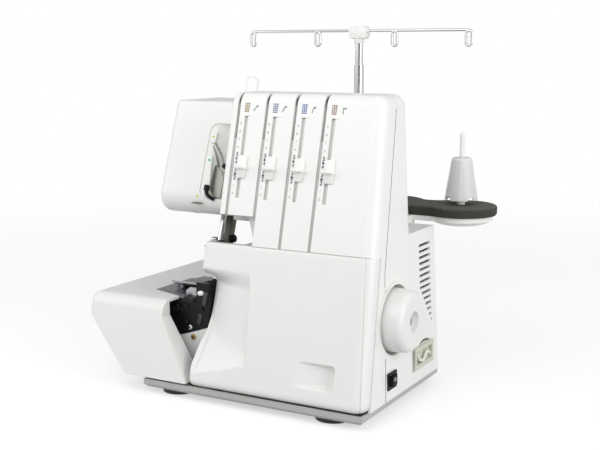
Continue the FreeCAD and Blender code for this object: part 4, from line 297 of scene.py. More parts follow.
# %% Dress the solids
FINISHES = {
    "white_abs": white_abs, "grey_abs": grey_abs, "foot_rubber": foot_rubber, "cast_frame": cast_aluminium,
    "ground_steel": ground_steel, "bright_plate": bright_plate, "bronze": sintered_bronze,
    "black_moulding": black_polyamide, "black_steel": black_oxide, "motor_can": zinc_can,
    "belt_rubber": belt_rubber, "foam": foam, "cone_plastic": cone_plastic,
    "inlet_plastic": inlet_polycarbonate, "lens": acrylic,
}
for subpart in frame["record"]["subparts"]:
    mesh = nodes[subpart["node"]].data
    mesh.materials.clear()
    mesh.materials.append(FINISHES[subpart["material_slot"]])
# The cloth plate and handwheel take the deeper white: painted shade.
for name, finish in (("presser_bar", phosphate_steel), ("switch_body", black_polyamide),
                     ("cloth_plate", painted_shade_white_abs), ("handwheel", painted_shade_white_abs)):
    nodes[name].data.materials[0] = finish

# %% [markdown]
# ## Helpers for mesh pieces
# Pieces are drawn in millimetres, in the machine's own frame. A piece is a list of points and a list of
# faces. A grid joins rows of points with quads, a loft does the same with closed rings and fills both ends,
# a lathe lofts circles along an axis, and a sweep lofts them along a wire. A plate is an outline with its
# rims rounded over. With these few moves every moulded or bent piece below can be built.

# %% Mesh helpers
def grid(rows, loop=False):
    """Points in rows and the quads between them; a loop joins each row's last point to its first."""
    wide = len(rows[0])
    faces = []
    for i in range(len(rows) - 1):
        for j in range(wide if loop else wide - 1):
            k = (j + 1) % wide
            faces.append((i * wide + j, i * wide + k, (i + 1) * wide + k, (i + 1) * wide + j))
    return [point for row in rows for point in row], faces


def loft(rings):
    """A closed form through rings of equal count, with both ends filled."""
    points, faces = grid(rings, loop=True)
    wide = len(rings[0])
    return points, faces + [tuple(range(wide)), tuple(range(len(points) - wide, len(points)))]


def circle(centre, side, up, radius, steps):
    turns = [2 * math.pi * k / steps for k in range(steps)]
    return [Vector(centre) + side * (radius * math.cos(t)) + up * (radius * math.sin(t)) for t in turns]


def lathe(start, axis, profile, steps=40):
    """Revolve pairs of distance along the axis and radius."""
    axis = Vector(axis).normalized()
    side = axis.orthogonal().normalized()
    return loft([circle(Vector(start) + axis * along, side, axis.cross(side), radius, steps)
                 for along, radius in profile])


def sweep(path, radius, steps=12):
    """A round wire along a path, with each ring square to its run."""
    path = [Vector(point) for point in path]
    side = (path[1] - path[0]).orthogonal()
    rings = []
    for i, at in enumerate(path):
        run = (path[min(i + 1, len(path) - 1)] - path[max(i - 1, 0)]).normalized()
        side = (side - run * side.dot(run)).normalized()
        rings.append(circle(at, side, run.cross(side), radius, steps))
    return loft(rings)


def rounded(corners, radius, steps=5):
    """A polygon's outline, anticlockwise, with each corner turned into a small curve."""
    outline = []
    for i, corner in enumerate(corners):
        here = Vector(corner)
        start = here + (Vector(corners[i - 1]) - here).normalized() * radius
        end = here + (Vector(corners[(i + 1) % len(corners)]) - here).normalized() * radius
        for k in range(steps + 1):
            t = k / steps
            outline.append(start * (1 - t) ** 2 + here * (2 * t * (1 - t)) + end * t * t)
    return outline


def inset(outline, depth):
    """An anticlockwise outline moved inwards, each point square to its two neighbours."""
    moved = []
    for i, here in enumerate(outline):
        run = (outline[(i + 1) % len(outline)] - outline[i - 1]).normalized()
        moved.append(here + Vector((-run.y, run.x)) * depth)
    return moved


def plate(outline, low, high, edge, place):
    """A flat form from low to high with rounded rims, put where place(u, v, height) says."""
    layers = [(edge, low), (0.3 * edge, low + 0.3 * edge), (0, low + edge),
              (0, high - edge), (0.3 * edge, high - 0.3 * edge), (edge, high)]
    return loft([[place(p.x, p.y, height) for p in inset(outline, depth)] for depth, height in layers])


def joined(shapes):
    points, faces = [], []
    for more_points, more_faces in shapes:
        start = len(points)
        points += more_points
        faces += [tuple(start + i for i in face) for face in more_faces]
    return points, faces


WELD = 0.002


def placed(name, shape, shell=False):
    """Turn points and faces in millimetres into an object; a shell keeps the way its faces point."""
    mesh = bpy.data.meshes.new(name)
    mesh.from_pydata([Vector(point) * MM for point in shape[0]], [], shape[1])
    work = bmesh.new()
    work.from_mesh(mesh)
    bmesh.ops.remove_doubles(work, verts=work.verts, dist=WELD * MM)
    if not shell:
        bmesh.ops.recalc_face_normals(work, faces=work.faces)
    work.to_mesh(mesh)
    work.free()
    made = bpy.data.objects.new(name, mesh)
    bpy.context.scene.collection.objects.link(made)
    return made


def piece(name, shape, body, material, slot, shell=False, sharp=40):
    """A smooth-shaded piece that rides on a body."""
    made = placed(name, shape, shell)
    mesh = made.data
    mesh.shade_smooth()
    mesh.set_sharp_from_angle(angle=math.radians(sharp))
    mesh.materials.append(material)
    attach(made, body)
    return made


def smooth(low, high, value):
    """0 below low, 1 above high, and a soft curve between."""
    t = min(1.0, max(0.0, (value - low) / (high - low)))
    return t * t * (3 - 2 * t)


FRONT_FOOT, FRONT_LEVEL, FRONT_SLOPE = -128.0, 14.0, 0.249
FRONT_LEAN = math.atan(FRONT_SLOPE)
SIDE_FOOT, SIDE_SLOPE = 137.5, 0.049


def on_front(x, z, out=0.0):
    """A point that stands out from the leaning front at height z."""
    y = FRONT_FOOT + (z - FRONT_LEVEL) * FRONT_SLOPE
    return Vector((x, y - out * math.cos(FRONT_LEAN), z + out * math.sin(FRONT_LEAN)))


def side_at(z):
    return SIDE_FOOT - (z - FRONT_LEVEL) * SIDE_SLOPE


print(f"front leans back {math.degrees(FRONT_LEAN):.1f} degrees")

# %% [markdown]
# ## Front cover
# The front cover is one moulded shell. Its left part is a deep chute that trimmings slide down, its right
# edge wraps round the corner of the machine, and a thumb pocket with a sloping floor sits low on the right.
# Boolean cuts would leave hard edges, so the shell is a grid: each column is a place along the cover's plan,
# each row a height, and depth functions press the chute and the pocket into it. A shadow line runs down the
# rounded corner, where the moulding's face ends. A solidify modifier then gives the wall its thickness, and
# two knuckles hold it on the hinge rod.

# %% Front cover
COVER_LEFT, COVER_LOW, COVER_TOP = -49.0, 14.4, 148.6
COVER_DEPTH, TOP_LIP, LOW_LIP = 14.5, 7.5, 5.2
LEFT_ROUND, SIDE_ROUND, TOP_ROUND, LOW_ROUND = 6.0, 12.0, 1.5, 8.0
CHUTE_RIGHT, CHUTE_SPLAY, CHUTE_STEP, CHUTE_FALL, CHUTE_SLOPE = 6.0, 6.0, 5.5, 25.0, 0.68
CHUTE_FOOT, CHUTE_SAG, CHUTE_TOP = 36.0, 10.0, 126.0
POCKET_X, POCKET_Z, POCKET_HALF, POCKET_TALL, POCKET_ROUND, POCKET_DEPTH = 85.5, 42.0, 20.0, 11.5, 4.5, 8.5
LINE_LOW, LINE_HIGH, LINE_HALF, LINE_DEEP = math.radians(40), math.radians(18), 0.03, 0.55


def softer(a, b, blend):
    """The smaller of two numbers, with the change from one to the other rounded off."""
    return (a + b - math.hypot(a - b, blend)) / 2


def chute(x, z):
    """Depth of the chute: a wall that falls away to the left, above a ramp that runs down to the front."""
    right = CHUTE_RIGHT + CHUTE_SPLAY * (CHUTE_TOP - z) / (CHUTE_TOP - CHUTE_FOOT)
    along = min(1.0, max(0.0, (right - x) / (right - COVER_LEFT)))
    wall = CHUTE_STEP + CHUTE_FALL * along ** 1.7
    ramp = -softer(0.0, -CHUTE_SLOPE * (z - CHUTE_FOOT + CHUTE_SAG * along), 1.2)
    share = (1 - smooth(right - 2, right + 1.5, x)) * (1 - smooth(CHUTE_TOP - 19, CHUTE_TOP, z))
    return max(0.0, softer(wall, ramp, 9.0)) * share


def thumb_pocket(x, z):
    """Depth of the pocket: a ramp to the right inside a rounded rectangle."""
    over_x = abs(x - POCKET_X) - POCKET_HALF + POCKET_ROUND
    over_z = abs(z - POCKET_Z) - POCKET_TALL + POCKET_ROUND
    rim = math.hypot(max(over_x, 0), max(over_z, 0)) + min(max(over_x, over_z), 0) - POCKET_ROUND
    ramp = max(0.0, (x - POCKET_X + POCKET_HALF) / (2 * POCKET_HALF))
    return (1 - smooth(-2.2, 0, rim)) * POCKET_DEPTH * ramp


def spread(start, end, step):
    count = max(1, round((end - start) / step))
    return [start + (end - start) * k / count for k in range(count)]


def rounding(radius, count):
    """Steps of a quarter turn: along the face, into the depth, and the inward direction."""
    for k in range(count + 1):
        turn = math.pi / 2 * k / count
        yield radius * (1 - math.sin(turn)), radius * (1 - math.cos(turn)), math.sin(turn), math.cos(turn)


def left_column(along, depth, turn_x, turn_depth):
    return lambda z: (COVER_LEFT + along + 2.0 * smooth(52, 62, z) * (1 - smooth(112, 119, z)),
                      max(depth, chute(COVER_LEFT, z)), turn_x, turn_depth)


def face_column(x):
    return lambda z: (x, chute(x, z) + thumb_pocket(x, z), 0.0, 1.0)


def corner_column(side, share):
    """A column on the rounded corner: before the shadow line, on it, or after it."""
    def place(z):
        line = LINE_LOW + (LINE_HIGH - LINE_LOW) * (z - COVER_LOW) / (COVER_TOP - COVER_LOW)
        turn = line
        if side < 0:
            turn = (line - LINE_HALF) * share
        elif side > 0:
            turn = line + LINE_HALF + (math.pi / 2 - line - LINE_HALF) * share
        radius = SIDE_ROUND - (LINE_DEEP if side == 0 else 0)
        return (side_at(z) - SIDE_ROUND + radius * math.sin(turn), SIDE_ROUND - radius * math.cos(turn),
                -math.sin(turn), math.cos(turn))
    return place


def cover_columns():
    """Plan of the cover, left to right: each column tells its place, depth and inward turn at a height."""
    columns = [left_column(0.0, COVER_DEPTH, 1.0, 0.0)]
    columns += [left_column(*step) for step in reversed(list(rounding(LEFT_ROUND, 8)))]
    face = spread(-42, 2, 2.5) + spread(2, 15, 0.5) + spread(15, 63, 4.5) + spread(63, 99, 2)
    face += spread(99, 107.5, 0.5) + spread(107.5, 117, 3)
    columns += [face_column(x) for x in face]
    columns += [corner_column(-1, k / 4) for k in range(5)] + [corner_column(0, 0)]
    columns += [corner_column(1, k / 8) for k in range(9)]
    return columns + [lambda z: (side_at(z), COVER_DEPTH, -1.0, 0.0)]


def cover_rows():
    """Heights of the cover, bottom to top, each with how far its edge is turned in."""
    foot = reversed(list(rounding(LOW_ROUND, 8)))
    rows = [(COVER_LOW + up, turned) for up, turned, _, _ in foot if turned < LOW_LIP]
    face = spread(23, 24, 0.5) + spread(24, 40, 0.6) + spread(40, 48, 1.5) + spread(48, 55, 0.6)
    face += spread(55, 104, 2.5) + spread(104, 128, 1.0) + spread(128, 147, 4)
    rows += [(z, 0.0) for z in face]
    rows += [(COVER_TOP - down, turned) for down, turned, _, _ in rounding(TOP_ROUND, 4)]
    return rows + [(COVER_TOP, TOP_LIP)]


def cover_point(column, row):
    z, turned_in = row
    x, depth, turn_x, turn_depth = column(z)
    y = FRONT_FOOT + (z - FRONT_LEVEL) * FRONT_SLOPE + depth + turn_depth * turned_in
    return Vector((x + turn_x * turned_in, y, z))


HINGE_Y, HINGE_Z, KNUCKLE, KNUCKLE_LONG, KNUCKLE_EDGE = -120.223, 20.4, 3.9, 8.0, 0.5
KNUCKLE_PLACES = (-4, 58)
COVER_WALL = 2.2
columns, rows = cover_columns(), cover_rows()
# The shell's deeper white is painted shade.
cover = piece("front_cover_shell", grid([[cover_point(c, r) for c in columns] for r in rows]),
              "cover", painted_shade_white_abs, "white_abs", shell=True, sharp=60)
wall = cover.modifiers.new("moulded_wall", "SOLIDIFY")
wall.thickness = COVER_WALL * MM
wall.offset = -1
knuckle_profile = [(0, KNUCKLE - KNUCKLE_EDGE), (KNUCKLE_EDGE, KNUCKLE),
                   (KNUCKLE_LONG - KNUCKLE_EDGE, KNUCKLE), (KNUCKLE_LONG, KNUCKLE - KNUCKLE_EDGE)]
knuckles = [lathe((x, HINGE_Y, HINGE_Z), (1, 0, 0), knuckle_profile) for x in KNUCKLE_PLACES]
piece("cover_knuckles", joined(knuckles), "cover", white_abs, "white_abs")
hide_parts("front_cover")
print(f"front cover: {len(columns)} columns by {len(rows)} rows")

# %% [markdown]
# ## Foam pad
# The four cones sit on a die-cut pad of open-cell foam with a round lobe under each one. Foam is never quite
# flat: it swells between its edges and its cut rims are soft. The outline is a smooth blend of four lobes
# and a neck, rings follow it round the rim, and the top is filled from front to rear with a gentle noise.
# Holes for the mast and the pins are then punched through it.

# %% Foam pad
PAD_LOW, PAD_TOP, PAD_Y = 165.0, 175.0, 91.0
LOBES = (-99.0, -19.0, 61.0, 141.0)
LOBE, NECK_FRONT, NECK_REAR = 36.5, 29.5, 19.0
PAD_STATIONS = 150
PUNCH_OVER = 5.0


def reach(x, neck, blend):
    """Half-width of the pad at x: the lobe there, melted into the neck between the outer lobes."""
    lobe = max(math.sqrt(max(0.0, LOBE ** 2 - (x - c) ** 2)) for c in LOBES)
    if not LOBES[0] < x < LOBES[-1]:
        return lobe
    share = min(1.0, max(0.0, 0.5 + 0.5 * (lobe - neck) / blend))
    return neck + (lobe - neck) * share + blend * share * (1 - share)


def pad_outline():
    middle, half = (LOBES[0] + LOBES[-1]) / 2, (LOBES[-1] - LOBES[0]) / 2 + LOBE
    stations = [middle - half * math.cos(math.pi * k / PAD_STATIONS) for k in range(PAD_STATIONS + 1)]
    front = [Vector((x, PAD_Y - reach(x, NECK_FRONT, 3.5))) for x in stations]
    rear = [Vector((x, PAD_Y + reach(x, NECK_REAR, 9.0))) for x in stations]
    return front + rear[-2:0:-1]


def foam_pad():
    outline = pad_outline()
    rim = [(3.2, PAD_LOW), (1.2, PAD_LOW + 0.3), (0.3, PAD_LOW + 1.3), (0, PAD_LOW + 3), (0.1, PAD_LOW + 5),
           (0, PAD_TOP - 3), (0.3, PAD_TOP - 1.3), (1.2, PAD_TOP - 0.35), (3.2, PAD_TOP)]
    rings = []
    for depth, z in rim:
        line = inset(outline, depth)
        rings.append([Vector((p.x, p.y, z + 0.25 * noise.noise(Vector((p.x, p.y, z)) / 14))) for p in line])
    shapes = [grid(rings, loop=True)]
    for ring, swell in ((rings[-1], 0.5), (rings[0], 0.0)):
        pairs = [(ring[k], ring[-k]) for k in range(1, PAD_STATIONS)]
        pairs = [(ring[0], ring[0])] + pairs + [(ring[PAD_STATIONS], ring[PAD_STATIONS])]
        filled = []
        for near, far in pairs:
            line = []
            for k in range(11):
                p = near.lerp(far, k / 10)
                rise = swell * math.sin(math.pi * k / 10) + swell * noise.noise(p / 22) * (0 < k < 10)
                line.append(p + Vector((0, 0, rise)))
            filled.append(line)
        shapes.append(grid(filled))
    return joined(shapes)


def punch(made, holes):
    """Cut round upright holes, given as x, y and radius, through a piece."""
    tall = PAD_TOP - PAD_LOW + 2 * PUNCH_OVER
    shape = joined([lathe((x, y, PAD_LOW - PUNCH_OVER), (0, 0, 1), [(0, radius), (tall, radius)])
                    for x, y, radius in holes])
    tool = placed("punch", shape)
    cut = made.modifiers.new("punched_holes", "BOOLEAN")
    cut.object = tool
    cut.solver = "EXACT"
    punched = bpy.data.meshes.new_from_object(made.evaluated_get(bpy.context.evaluated_depsgraph_get()))
    made.modifiers.clear()
    made.data = punched
    bpy.data.objects.remove(tool)


MAST_X, MAST_Y, MAST_HOLE, PIN_HOLE = 21.0, 98.0, 6.6, 4.7
pad = piece("foam_pad", foam_pad(), "machine", foam, "foam", sharp=80)
punch(pad, [(MAST_X, MAST_Y, MAST_HOLE)] + [(x, PAD_Y, PIN_HOLE) for x in LOBES])
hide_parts("spool_pad")
print(f"foam pad: {len(pad.data.vertices)} points")

# %% [markdown]
# ## Slider knobs
# Each thread has a tension slider: a small moulded knob with a thin upper plate, a ridge for the finger, a
# lower plate that is a little narrower, and a pointer towards its scale. A knob is a loft up the panel: at
# each station it has a half-width and a height, and its upper corners are rounded.

# %% Slider knobs
GROOVES = [-27.5 + 31 * i for i in range(4)]
SLOT_RIGHT, KNOB_RIGHT, KNOB_Z, KNOB_FOOT = 9.6, 11.5, 221.0, 0.2
KNOB_STATIONS = [(-11.2, 3.6, 0.8), (-10.9, 4.2, 1.9), (-10.0, 4.5, 2.4), (-3.4, 4.7, 3.1), (-2.9, 4.8, 3.6),
                 (-2.6, 5.8, 5.6), (-2.0, 6.1, 6.4), (-0.2, 6.1, 6.6), (0.6, 5.9, 6.0), (1.0, 5.3, 3.6),
                 (1.5, 5.2, 3.1), (9.6, 5.3, 2.4), (10.6, 5.0, 1.9), (11.0, 4.4, 0.8)]
POINTER = rounded([(-4.9, -2.3), (-4.9, 0.1), (-7.6, -0.9)][::-1], 0.3)


def slider_knob(groove):
    def place(u, v, out):
        return on_front(groove + KNOB_RIGHT + u, KNOB_Z + v * math.cos(FRONT_LEAN), out)

    rings = []
    for v, half, top in KNOB_STATIONS:
        soft = min(0.8, 0.4 * top)
        side = [(half, KNOB_FOOT), (half, top - soft), (half - 0.3 * soft, top - 0.3 * soft),
                (half - soft, top)]
        section = [(-u, out) for u, out in side] + side[::-1]
        rings.append([place(u, v, out) for u, out in section])
    stem = plate(rounded([(-1.2, -6), (1.2, -6), (1.2, 6), (-1.2, 6)], 0.8), -1.7, 0.6, 0.2,
                 lambda u, v, out: place(u - KNOB_RIGHT + SLOT_RIGHT, v, out))
    return joined([loft(rings), plate(POINTER, 0.25, 2.6, 0.3, place), stem])


for number, groove in enumerate(GROOVES, start=1):
    knob = piece(f"slider_knob_{number}", slider_knob(groove), f"tension_{number}", white_abs, "white_abs",
                 sharp=50)
    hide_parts(f"tension_slider_{number}")
print("four slider knobs ready")

# %% [markdown]
# ## Scales beside the sliders
# Each slot has a pale grey strip under it, so it reads as a shallow channel, and a small lip moulded at its
# top. Each groove has a grey strip in it too. The grey of both strips is painted shade.
# Beside it runs a pad-printed scale from 0 to 9; the usual settings are bold. Above the slot a block of
# thread lines in the thread's own tint tells which reel it serves. Figures come from Blender's own text
# curves, turned into thin solid faces, so they stay crisp at any distance.

# %% Scales and channels
SLOT_LOW, SLOT_HIGH, SLOT_HALF = 192.0, 268.0, 1.95
SCALE_LOW, SCALE_STEP, SCALE_RIGHT, FIGURE = 196.0, 7.2, 4.4, 2.4
ARM_FOOT, COLUMN_LEFT, GROOVE_HIGH = 176.8, 5.0, 248.0
MARK_Z, MARK_STEP, MARK_MIDDLE, NEEDLE_RIGHT, NEEDLE_Z = 272.4, 1.9, 276.2, 18.4, 275.6
INK_FILM = (0.01, 0.06, 0.01)
USUAL = (2, 3, 4, 5)


def figures(text, height, weight):
    """A few figures as thin solid faces in millimetres, centred; weight thickens their strokes."""
    curve = bpy.data.curves.new("figures", "FONT")
    curve.body = text
    curve.size = height / 0.7
    curve.extrude = 0.04
    curve.offset = weight
    curve.align_x = "CENTER"
    curve.align_y = "CENTER"
    holder = bpy.data.objects.new("figures", curve)
    mesh = bpy.data.meshes.new_from_object(holder)
    shape = [v.co.copy() for v in mesh.vertices], [tuple(face.vertices) for face in mesh.polygons]
    bpy.data.objects.remove(holder)
    bpy.data.curves.remove(curve)
    bpy.data.meshes.remove(mesh)
    return shape


def laid(shape, place):
    """Move a flat shape on to a surface, with place(u, v, height)."""
    return [place(*point) for point in shape[0]], shape[1]


def on_panel(x, z):
    """A place function for flat shapes that lie on the leaning front round a point."""
    return lambda u, v, out: on_front(x + u, z + v * math.cos(FRONT_LEAN), out)


def bar(wide, tall, soft=0.3):
    u, v = wide / 2, tall / 2
    return rounded([(-u, -v), (u, -v), (u, v), (-u, v)], soft)


def rotated(outline, degrees):
    turn = Matrix.Rotation(math.radians(degrees), 2)
    return [turn @ point for point in outline]


middle, tall = (SLOT_LOW + SLOT_HIGH) / 2, (SLOT_HIGH - SLOT_LOW) / math.cos(FRONT_LEAN)
slot_shade_strips, groove_shade_strips, lips, plain, bold = [], [], [], [], []
for number, groove in enumerate(GROOVES):
    slot_x = groove + SLOT_RIGHT
    # A pale grey floor in each slot: painted shade in the channel.
    slot_shade_strips.append(plate(bar(2 * SLOT_HALF, tall, 0.4), -2.6, -1.9, 0.2, on_panel(slot_x, middle)))
    foot = ARM_FOOT if groove < COLUMN_LEFT else COVER_TOP
    # A grey floor in each groove: painted shade.
    groove_shade_strips.append(plate(bar(3.0, (GROOVE_HIGH - foot) / math.cos(FRONT_LEAN), 0.4), -1.3, -0.5, 0.2,
                             on_panel(groove, (GROOVE_HIGH + foot) / 2)))
    lips.append(plate(bar(8.5, 1.1, 0.4), -0.3, 0.6, 0.25, on_panel(slot_x + 2.6, SLOT_HIGH + 0.8)))
    for figure in range(10):
        place = on_panel(groove + SCALE_RIGHT, SCALE_LOW + SCALE_STEP * figure)
        usual = figure in USUAL
        shape = laid(figures(str(figure), FIGURE + 1.4 * usual, 0.16 * usual), place)
        (bold if usual else plain).append(shape)
        if usual and figure < USUAL[-1]:
            bold.append(plate(bar(2.6, 2.2, 0.5), *INK_FILM,
                              on_panel(groove + SCALE_RIGHT, SCALE_LOW + SCALE_STEP * (figure + 0.5))))
    block = [plate(bar(5.0, 0.8, 0.2), *INK_FILM,
                   on_panel(groove + 9.2 + 0.2 * row, MARK_Z + MARK_STEP * row)) for row in range(5)]
    block += [plate(bar(0.7, 9.2, 0.2), *INK_FILM, on_panel(groove + 7.2 + 2.0 * k, MARK_MIDDLE))
              for k in range(3)]
    shaft = rotated(bar(1.0, 6.4, 0.3), -38 + 12 * number)
    needle = [plate(shaft, *INK_FILM, on_panel(groove + NEEDLE_RIGHT, NEEDLE_Z)),
              plate(bar(2.2, 1.5, 0.5), *INK_FILM, on_panel(groove + NEEDLE_RIGHT + 2.0, NEEDLE_Z + 2.0))]
    piece(f"thread_mark_{number + 1}", joined(block), "machine", thread_inks[number], "white_abs")
    piece(f"needle_mark_{number + 1}", joined(needle), "machine", grey_ink, "white_abs")
piece("slot_floor_painted_shade", joined(slot_shade_strips), "machine", painted_shade_grey_abs, "grey_abs")
piece("groove_floor_painted_shade", joined(groove_shade_strips), "machine", grey_abs, "grey_abs")
piece("slot_lips", joined(lips), "machine", white_abs, "white_abs")
piece("scale_figures", joined(plain), "machine", grey_ink, "white_abs")
piece("usual_settings", joined(bold), "machine", dark_ink, "white_abs")
print("scales, channels and thread marks ready")

# %% [markdown]
# ## Thread path in the head
# A recess in the head shows the thread's way down: a moulded hollow, a white tab and a white strip with
# coloured dots that tell which thread goes where, two bent wires, a steel shield in front of the take-up
# lever, and a black hook at the bottom. The hollow is a grid whose depth grows to the right and closes to
# the face at the top; it leaves a slit for the lever. The other pieces are plates and swept wires laid out
# on the leaning face.

# %% Thread path
FACE_FOOT, FACE_LEVEL, FACE_SLOPE = -44.0, 176.0, 0.361
FACE_LEAN = math.atan(FACE_SLOPE)
HOLLOW_LEFT, HOLLOW_RIGHT, HOLLOW_LOW, HOLLOW_TOP = -91.4, -37.4, 181.6, 256.6
SLIT_LEFT, SLIT_RIGHT = -67.4, -61.6


def on_face(x, z, out=0.0):
    """A point that stands out from the leaning face of the head."""
    y = FACE_FOOT + (z - FACE_LEVEL) * FACE_SLOPE
    return Vector((x, y - out * math.cos(FACE_LEAN), z + out * math.sin(FACE_LEAN)))


def flat_on_face(x, z):
    return lambda u, v, out: on_face(x + u, z + v * math.cos(FACE_LEAN), out)


def hollow(left, right):
    def depth(x, z):
        side = smooth(HOLLOW_LEFT + 4, HOLLOW_LEFT + 24, x)
        roof = (HOLLOW_TOP - z) / (HOLLOW_TOP - HOLLOW_LOW)
        return 0.9 + 17 * side * math.sqrt(1 - (1 - min(1.0, 1.6 * roof)) ** 2)

    heights = [HOLLOW_LOW + (HOLLOW_TOP - HOLLOW_LOW) * k / 30 for k in range(31)]
    places = [left + (right - left) * k / 16 for k in range(17)]
    front = [[on_face(x, z, -depth(x, z)) for x in places] for z in heights]
    back = [[on_face(x, z, -depth(x, z) - 1.6) for x in places] for z in heights]
    return joined([grid(front), grid([row[::-1] for row in back]),
                   grid([[row[0] for row in back], [row[0] for row in front]]),
                   grid([[row[-1] for row in front], [row[-1] for row in back]]),
                   grid([front[-1], back[-1]]), grid([back[0], front[0]])])


def wire_on_face(points, radius):
    """A bent wire through a few places on the face, rounded by a spline."""
    path = []
    ends = [points[0]] + points + [points[-1]]
    for a, b, c, d in zip(ends, ends[1:], ends[2:], ends[3:]):
        for k in range(8):
            t = k / 8
            path.append([0.5 * (2 * q + (r - p) * t + (2 * p - 5 * q + 4 * r - w) * t * t
                                + (3 * q - p - 3 * r + w) * t ** 3) for p, q, r, w in zip(a, b, c, d)])
    path.append(points[-1])
    return sweep([on_face(*place) for place in path], radius, 10)


piece("thread_hollow", joined([hollow(HOLLOW_LEFT, SLIT_LEFT), hollow(SLIT_RIGHT, HOLLOW_RIGHT)]),
      "machine", white_abs, "white_abs", sharp=60)
tab = plate(rounded([(-3.4, -6), (3.0, -6), (3.9, 5.4), (-2.4, 5.4)], 1.0), -1.0, 0.9, 0.4,
            flat_on_face(-85.2, 242))
strip = plate(rounded([(0.2, -17.2), (6.4, -17.2), (3.1, 16.6), (-2.9, 16.6)], 1.0), -0.6, 1.2, 0.4,
              flat_on_face(-85.6, 208.6))
guides = piece("thread_tabs", joined([tab, strip]), "machine", white_abs, "white_abs")
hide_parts("thread_guides")
DOT_SIZE, DOT_STEPS = 1.3, 20
dot_turns = [2 * math.pi * k / DOT_STEPS for k in range(DOT_STEPS)]
dot = [DOT_SIZE * Vector((math.cos(turn), math.sin(turn))) for turn in dot_turns]
for name, ink, x, z, out in (("yellow_dot", yellow_ink, -85.3, 242.6, 0.9),
                             ("green_dot", green_ink, -84.8, 219.4, 1.2),
                             ("lower_dot", yellow_ink, -92.6, 184.0, 0.0)):
    piece(name, plate(dot, out, out + 0.08, 0.02, flat_on_face(x, z)), "machine", ink, "white_abs")
WIRE = 1.0
wire_runs = ([(-83.5, 237, -1.5), (-79.5, 232, -3.5), (-75.0, 225, -5.5), (-71.5, 217.5, -6.0)],
             [(-85.6, 234, -2.0), (-81.8, 227, -4.0), (-78.6, 219, -6.0), (-77.4, 213, -7.5)])
wires = [wire_on_face(run, WIRE) for run in wire_runs]
piece("thread_wires", joined(wires), "machine", brushed_steel, "bright_plate")
shield_side = rounded([(-6.0, -14.0), (9.0, -16.5), (9.6, 4.0), (4.4, 14.5), (-3.4, 19.0)], 2.0)
shield = plate(shield_side, -5.0, -4.0, 0.3, flat_on_face(-76.8, 198.6))
piece("take_up_shield", shield, "machine", brushed_steel, "ground_steel")
hook = wire_on_face([(-81.9, 193.5, 1.0), (-81.4, 189.0, 1.8), (-79.0, 185.4, 2.2), (-75.2, 183.0, 1.6),
                     (-71.6, 181.6, 0.0)], 1.9)
hook_head = plate(bar(5.4, 6.0, 1.0), -0.5, 2.4, 0.4, flat_on_face(-82.0, 192.2))
piece("thread_hook", joined([hook, hook_head]), "machine", black_polyamide, "black_moulding")
# A thin dark plate on the face: painted shade in the finger slot.
face_slot_shade = plate(rounded([(-7, -0.9), (6, -1.3), (7, 0.9), (-5, 0.8)], 0.5), -0.4, 0.12, 0.1,
                    flat_on_face(-91.4, 177.2))
piece("face_slot_painted_shade", face_slot_shade, "machine", phosphate_steel, "grey_abs")
print("thread path ready")

# %% [markdown]
# ## Needle and presser fittings
# Under the head, a black thumbscrew clamps the presser bar and two small bright screws hold the needles.
# They ride on the bars, so they move with them. A screw is a lathe, and a dark bar across its crown is
# painted shade in its slot; the thumbscrew's grip is a ring whose radius changes with the angle. A web
# moulded in the corner below the panels stiffens the arm; it is white plastic, coloured pale grey as painted
# shade.

# %% Needle and presser fittings
def knurled(start, axis, profile, teeth, depth):
    """A lathe whose grip is cut with shallow teeth."""
    steps = 4 * teeth
    axis = Vector(axis).normalized()
    side = axis.orthogonal().normalized()
    up = axis.cross(side)
    rings = []
    for along, radius, cut in profile:
        ring = []
        for k in range(steps):
            turn = 2 * math.pi * k / steps
            r = radius - depth * cut * (k % 4 in (0, 1))
            across = side * (r * math.cos(turn)) + up * (r * math.sin(turn))
            ring.append(Vector(start) + axis * along + across)
        rings.append(ring)
    return loft(rings)


def screw(start, axis, radius, height):
    """A pan-head screw, and a dark bar across its crown painted as the shade in its slot."""
    axis = Vector(axis).normalized()
    side = axis.orthogonal().normalized()
    head = lathe(start, axis, [(0, radius), (0.55 * height, radius), (0.85 * height, 0.86 * radius),
                               (height, 0.5 * radius), (height, 0.1)], 24)
    long, wide = 0.8 * radius, 0.12 * radius
    corners = [(-long, -wide), (long, -wide), (long, wide), (-long, wide)]
    up = axis.cross(side)
    slot = plate(rounded(corners, 0.05 * radius), 0.8 * height, 1.02 * height, 0.02 * radius,
                 lambda u, v, out: Vector(start) + side * u + up * v + axis * out)
    return head, slot


GRIP = [(0, 2.0, 0), (1.0, 2.0, 0), (1.2, 3.8, 0), (1.7, 4.3, 1), (6.2, 4.3, 1), (6.8, 3.7, 0),
        (7.0, 2.6, 0)]
thumbscrew = knurled((-81.2, 1.4, 133.6), (1, 0, 0.25), GRIP, 12, 0.45)
piece("presser_thumbscrew", thumbscrew, "presser", black_polyamide, "black_moulding")
BAR_LEAN = math.radians(18)
sleeve_side = rounded([(-6.8, -5.2), (4.6, -5.2), (4.6, 4.8), (-6.8, 4.8)], 1.6)
sleeve = plate(sleeve_side, 0.0, 36.0, 0.6, lambda u, v, out: Vector((
    -85.5 + u, 0.9 + v * math.cos(BAR_LEAN) + out * math.sin(BAR_LEAN),
    121.5 - v * math.sin(BAR_LEAN) + out * math.cos(BAR_LEAN))))
piece("presser_bar_sleeve", sleeve, "presser", phosphate_steel, "black_steel")
needle_screws = (("needle_screw_upper", (-89.5, -10.0, 134.4), (-1, -0.1, 0.05), 2.6, 6.5),
                 ("needle_screw_lower", (-91.0, -12.4, 130.6), (-1, -0.1, -0.3), 1.7, 12.0))
